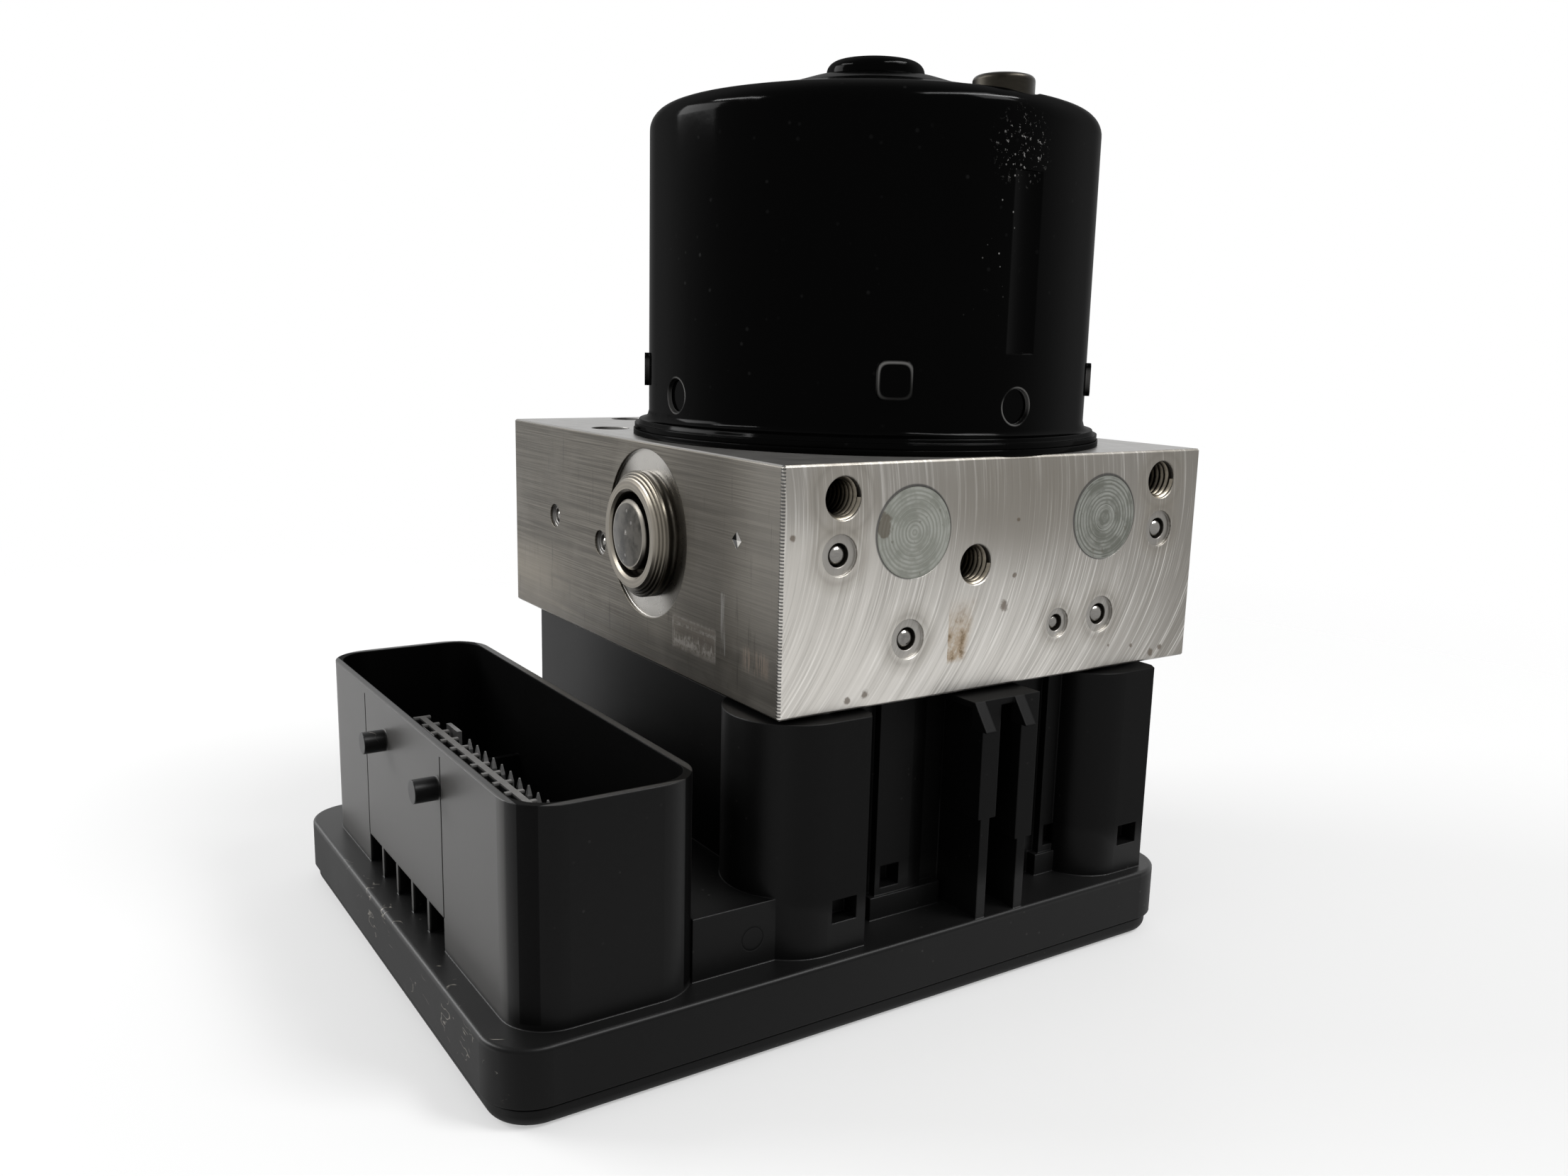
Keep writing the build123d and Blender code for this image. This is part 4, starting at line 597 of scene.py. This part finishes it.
def black_plastic(name, level, roughness):
    """Black plastic: fine grain, scuffs, hair scratches, dust and an ejector pin's ring."""
    finish = Finish(name, IOR=1.42)
    x, y, z = finish.axes()
    grain = finish.noise(0.35, detail=3)
    cloud = finish.noise(24, detail=4)
    scuffs = finish.noise(5, stretch=(1, 1, 6), detail=6, roughness=0.7).ramp(0.62, 0.74)
    dust = finish.spots(2.4).ramp(0.11, 0.05) * finish.noise(21).ramp(0.48, 0.62)
    colour = finish.mix(cloud, grey(level), grey(level * 1.6))
    colour = finish.mix(scuffs * 0.3, colour, grey(level * 3.0))
    colour = finish.mix(dust * 0.35, colour, grey(0.12, 0.05))
    # A lighter film on the connector's left wall: dust, and a painted sheen standing in for its
    # reflection
    dust_and_painted_sheen = x.inside(housing_low.x + 3.6 * MM, housing_low.x + 4.1 * MM, 0.1 * MM)
    dust_and_painted_sheen = dust_and_painted_sheen * z.ramp(tray_top, tray_top + 1 * MM)
    colour = finish.mix(dust_and_painted_sheen * (cloud * 0.5 + 0.5), colour, grey(0.065, 0.04))
    # Hair scratches along the tray's worn left edge
    worn = (finish.noise(7, stretch=(1, 1, 2.5), detail=2) - 0.5).abs().ramp(0.010, 0.004)
    worn = worn * finish.noise(3.1, detail=3).ramp(0.54, 0.62)
    worn = worn * x.ramp(housing_low.x + 2.6 * MM, housing_low.x + 1.8 * MM)
    worn = worn * z.ramp(3 * MM, 6 * MM) * y.ramp(30 * MM, 5 * MM)
    colour = finish.mix(worn, colour, grey(0.30, 0.12))
    # Ring of an ejector pin on the front of the bridge
    pin = on_block(*ejector_place)
    ring = radius_on_face(x, z, (pin.x, pin.z)).inside(1.6 * MM, 1.8 * MM, 0.15 * MM)
    ring = ring * y.inside(pin.y - 0.5 * MM, pin.y + 0.5 * MM, 0.2 * MM)
    finish.set("Base Color", colour)
    finish.set("Roughness", cloud * 0.12 + roughness)
    finish.bump(grain + scuffs * 0.5 - ring * 6, 0.02, 0.3, edge=0.3)
    # The gloss fades where the surface is seen straight on and on the tray; inside the shroud
    # and on the coil housing under the block, matt near-black stands in for shade as painted shade
    shroud = x.inside(shroud_low.x, shroud_high.x, 0.1 * MM)
    shroud = shroud * y.inside(shroud_low.y, shroud_high.y, 0.1 * MM)
    shroud = shroud * z.ramp(shroud_low.z, shroud_low.z + 1 * MM) * 0.85
    core = x.ramp(housing_low.x + 30 * MM, housing_low.x + 46 * MM)
    core = core * y.ramp(35 * MM, -35 * MM, 0.5, 0.78) * z.ramp(tray_top, tray_top + 9 * MM)
    tray = z.ramp(tray_top, tray_top - 1 * MM) * 0.5
    dull = finish.facing().ramp(0.08, 0.70, 0.72, 0.05).at_least(shroud).at_least(core)
    finish.dull(dull.at_least(tray).at_least(ring), grey(level * 1.1))
    return finish.material


def tinted(name, first, second, size, roughness, metallic=0.0):
    """An inner material whose colour drifts between two tones."""
    finish = Finish(name, Metallic=metallic)
    drift = finish.noise(size, detail=4)
    finish.set("Base Color", finish.mix(drift, first, second))
    finish.set("Roughness", drift * 0.15 + roughness)
    finish.bump(drift, 0.02, 0.3)
    return finish.material


def lay_finishes():
    """Gives each node of the model its finish."""
    steel = plain_steel("machined_steel", 0.34)
    spring_steel = plain_steel("spring_steel", 0.30, 0.25)
    ground_steel = plain_steel("ground_steel", 0.45, 0.2)
    plated_pins = plain_steel("tinned_pins", 0.55, 0.28)
    paint = black_paint()
    burnished = plain_steel("burnished_ball_steel", 0.2, 0.12, 0.06)
    collar = turned_collar()
    cap = domed_cap()
    coil = tinted("coil_overmould", grey(0.02), grey(0.035), 4, 0.5)
    copper = tinted("enamelled_copper", (0.42, 0.17, 0.08), (0.55, 0.24, 0.11), 2, 0.3, 0.9)
    finishes = {
        milled_block(): ["hydraulic_block"],
        turned_cap(): ["accumulator_caps"],
        paint: ["motor_can", "motor_end_plate"],
        collar: ["pump_collar_left", "pump_collar_right"],
        cap: ["pump_cap_left", "pump_cap_right"],
        steel: [
            "ecu_screws", "inlet_valves", "outlet_valves",
            "accumulator_piston_left", "accumulator_piston_right",
        ],
        burnished: ["ball_plugs"],
        plain_steel("phosphated_bolt_steel", 0.016, 0.3, 0.2): ["motor_bolts"],
        spring_steel: [
            "pump_spring_left", "pump_spring_right",
            "accumulator_spring_left", "accumulator_spring_right",
        ],
        ground_steel: [
            "motor_shaft", "eccentric_bearing", "main_bearing", "top_bearing",
            "pump_piston_left", "pump_piston_right",
        ],
        plated_pins: ["signal_pins", "power_blades", "motor_terminals"],
        comb_strip(): ["pin_comb"],
        black_plastic("satin_black_plastic", 0.0016, 0.34): ["ecu_housing"],
        black_plastic("cover_black_plastic", 0.0014, 0.40): ["ecu_cover"],
        coil: ["inlet_coils", "outlet_coils", "terminal_sleeve"],
        copper: ["armature_winding", "commutator"],
        tinted("laminated_core", grey(0.08), grey(0.14), 3, 0.5, 0.8): ["armature_core"],
        tinted("ferrite", grey(0.03), grey(0.05), 3, 0.6): ["magnets"],
        tinted("carbon", grey(0.02), grey(0.04), 1.5, 0.6): ["brushes"],
        tinted("brown_laminate", (0.16, 0.08, 0.03), (0.22, 0.12, 0.05), 6, 0.5): ["brush_plate"],
        tinted("gasket_rubber", grey(0.015), grey(0.025), 4, 0.7): ["housing_gasket"],
        tinted("board_green", (0.02, 0.10, 0.04), (0.03, 0.14, 0.06), 5, 0.35): ["circuit_board"],
    }
    for material, names in finishes.items():
        for name in names:
            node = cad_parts[name]
            node.data.materials.clear()
            node.data.materials.append(material)


def keep_mesh(mesh, name, material, body):
    """Turns a finished bmesh into a piece that rides on a body."""
    data = bpy.data.meshes.new(name)
    mesh.to_mesh(data)
    mesh.free()
    data.materials.append(material)
    piece = bpy.data.objects.new(name, data)
    bpy.context.collection.objects.link(piece)
    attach(piece, body)


def thread_with_painted_shade():
    """Threads of the tapped holes: dull metal at the mouth, painted darker further in as shade."""
    finish = Finish("thread_with_painted_shade", Metallic=1.0)
    _, y, _ = finish.axes()
    depth = y.ramp(block_low.y + 0.5 * MM, block_low.y + 5 * MM)
    grain = finish.noise(0.6, detail=4)
    colour = finish.mix(depth, grey(0.19, 0.2), grey(0.012, 0.3))
    finish.set("Base Color", finish.mix(grain * 0.5, colour, grey(0.01, 0.3)))
    finish.set("Roughness", grain * 0.15 + 0.25)
    finish.bump(grain, 0.01, 0.4)
    return finish.material


def cut_threads():
    """Helical thread ridges inside the tapped holes of the front face."""
    wall_radius = 3.0 * MM
    ridge = 0.42 * MM
    pitch = 1.0 * MM
    turns = 10
    steps = turns * 24
    mesh = bmesh.new()
    for from_left, above_bottom, _ in tapped_holes:
        mouth = on_block(from_left, 0.25, above_bottom)
        root, tip = wall_radius + 0.02 * MM, wall_radius - ridge
        profile = [(root, 0.0), (tip, 0.32 * pitch), (tip, 0.44 * pitch), (root, 0.76 * pitch)]
        corners = [mesh.verts.new(mouth + Vector((r, y, 0))) for r, y in profile]
        edges = [mesh.edges.new(pair) for pair in zip(corners, corners[1:])]
        bmesh.ops.spin(
            mesh, geom=corners + edges, cent=mouth, axis=(0, 1, 0), angle=turns * 2 * math.pi,
            dvec=(0, turns * pitch / steps, 0), steps=steps, use_duplicate=False,
        )
    bmesh.ops.remove_doubles(mesh, verts=mesh.verts, dist=0.002 * MM)
    bmesh.ops.recalc_face_normals(mesh, faces=mesh.faces)
    for face in mesh.faces:
        face.smooth = True
    keep_mesh(mesh, "cut_threads_front", thread_with_painted_shade(), "module")


def set_camera():
    """The camera stands where the photograph was taken from."""
    from_block = Vector((-92.70, -141.96, 51.63)) * MM
    azimuth, elevation, roll = (math.radians(a) for a in (-33.268, 11.003, 1.342))
    back = Vector((
        math.sin(azimuth) * math.cos(elevation),
        -math.cos(azimuth) * math.cos(elevation),
        math.sin(elevation),
    ))
    right = (-back).cross(Vector((0, 0, 1))).normalized()
    up = right.cross(-back)
    turned_right = math.cos(roll) * right + math.sin(roll) * up
    turned_up = math.cos(roll) * up - math.sin(roll) * right
    camera = bpy.data.objects.new("camera", bpy.data.cameras.new("camera"))
    bpy.context.collection.objects.link(camera)
    pose = Matrix((turned_right, turned_up, back)).transposed().to_4x4()
    pose.translation = block_low + from_block
    camera.matrix_world = pose
    camera.data.lens = 29.72
    camera.data.sensor_width = 36
    camera.data.clip_start = 0.01
    bpy.context.scene.camera = camera


def softbox(name, place, target, size, power):
    """A rectangular studio light aimed at a point."""
    light = bpy.data.lights.new(name, "AREA")
    light.shape = "RECTANGLE"
    light.size, light.size_y = size
    light.energy = power
    lamp = bpy.data.objects.new(name, light)
    bpy.context.collection.objects.link(lamp)
    lamp.location = place
    lamp.rotation_euler = (Vector(target) - Vector(place)).to_track_quat("-Z", "Y").to_euler()
    return lamp


def lay_floor():
    """White paper under the module that thins out into the white background."""
    half_side = 1.2
    full_within, gone_beyond = 0.16, 0.42
    most_cover = 0.6
    mesh = bmesh.new()
    bmesh.ops.create_grid(mesh, x_segments=1, y_segments=1, size=half_side)
    data = bpy.data.meshes.new("floor")
    mesh.to_mesh(data)
    mesh.free()
    floor = bpy.data.objects.new("floor", data)
    bpy.context.collection.objects.link(floor)
    paper = Finish("white_paper", Base_Color=(0.93, 0.93, 0.93), Roughness=0.9, IOR=1.2)
    x, y, _ = paper.axes()
    distance = (x * x + y * y).sqrt()
    paper.set("Alpha", distance.ramp(gone_beyond, full_within) * most_cover)
    floor.data.materials.append(paper.material)


def set_studio():
    """White floor and background, an even sky, two soft boxes and two strips for highlights."""
    lay_floor()
    world = bpy.data.worlds.new("studio")
    world.use_nodes = True
    tree = world.node_tree
    sky = tree.nodes["Background"]
    rays = tree.nodes.new("ShaderNodeLightPath")
    seen = rays.outputs["Is Camera Ray"]
    for name in ("Is Glossy Ray", "Is Transmission Ray"):
        either = tree.nodes.new("ShaderNodeMath")
        either.operation = "MAXIMUM"
        tree.links.new(seen, either.inputs[0])
        tree.links.new(rays.outputs[name], either.inputs[1])
        seen = either.outputs[0]
    strength = tree.nodes.new("ShaderNodeMapRange")
    lighting_strength, seen_strength = 0.5, 1.0
    strength.inputs["To Min"].default_value = lighting_strength
    strength.inputs["To Max"].default_value = seen_strength
    tree.links.new(seen, strength.inputs["Value"])
    tree.links.new(strength.outputs[0], sky.inputs["Strength"])
    sky.inputs["Color"].default_value = (1, 1, 1, 1)
    bpy.context.scene.world = world

    middle, can_top = (0, 0, 0.06), (0, 0, 0.13)
    softbox("key_light", (0.4, -0.5, 0.85), middle, (0.3, 0.3), 5)
    softbox("side_light", (-0.62, 0.62, 0.42), middle, (0.5, 0.3), 6)
    strips = [
        softbox("high_strip", (0.3, -0.55, 0.95), can_top, (0.9, 0.05), 14),
        softbox("left_strip", (-0.75, 0.35, 0.7), can_top, (0.5, 0.04), 6),
    ]
    for strip in strips:
        strip.visible_diffuse = False
    bpy.context.scene.view_settings.view_transform = "Standard"


lay_finishes()
cut_threads()
set_studio()
set_camera()
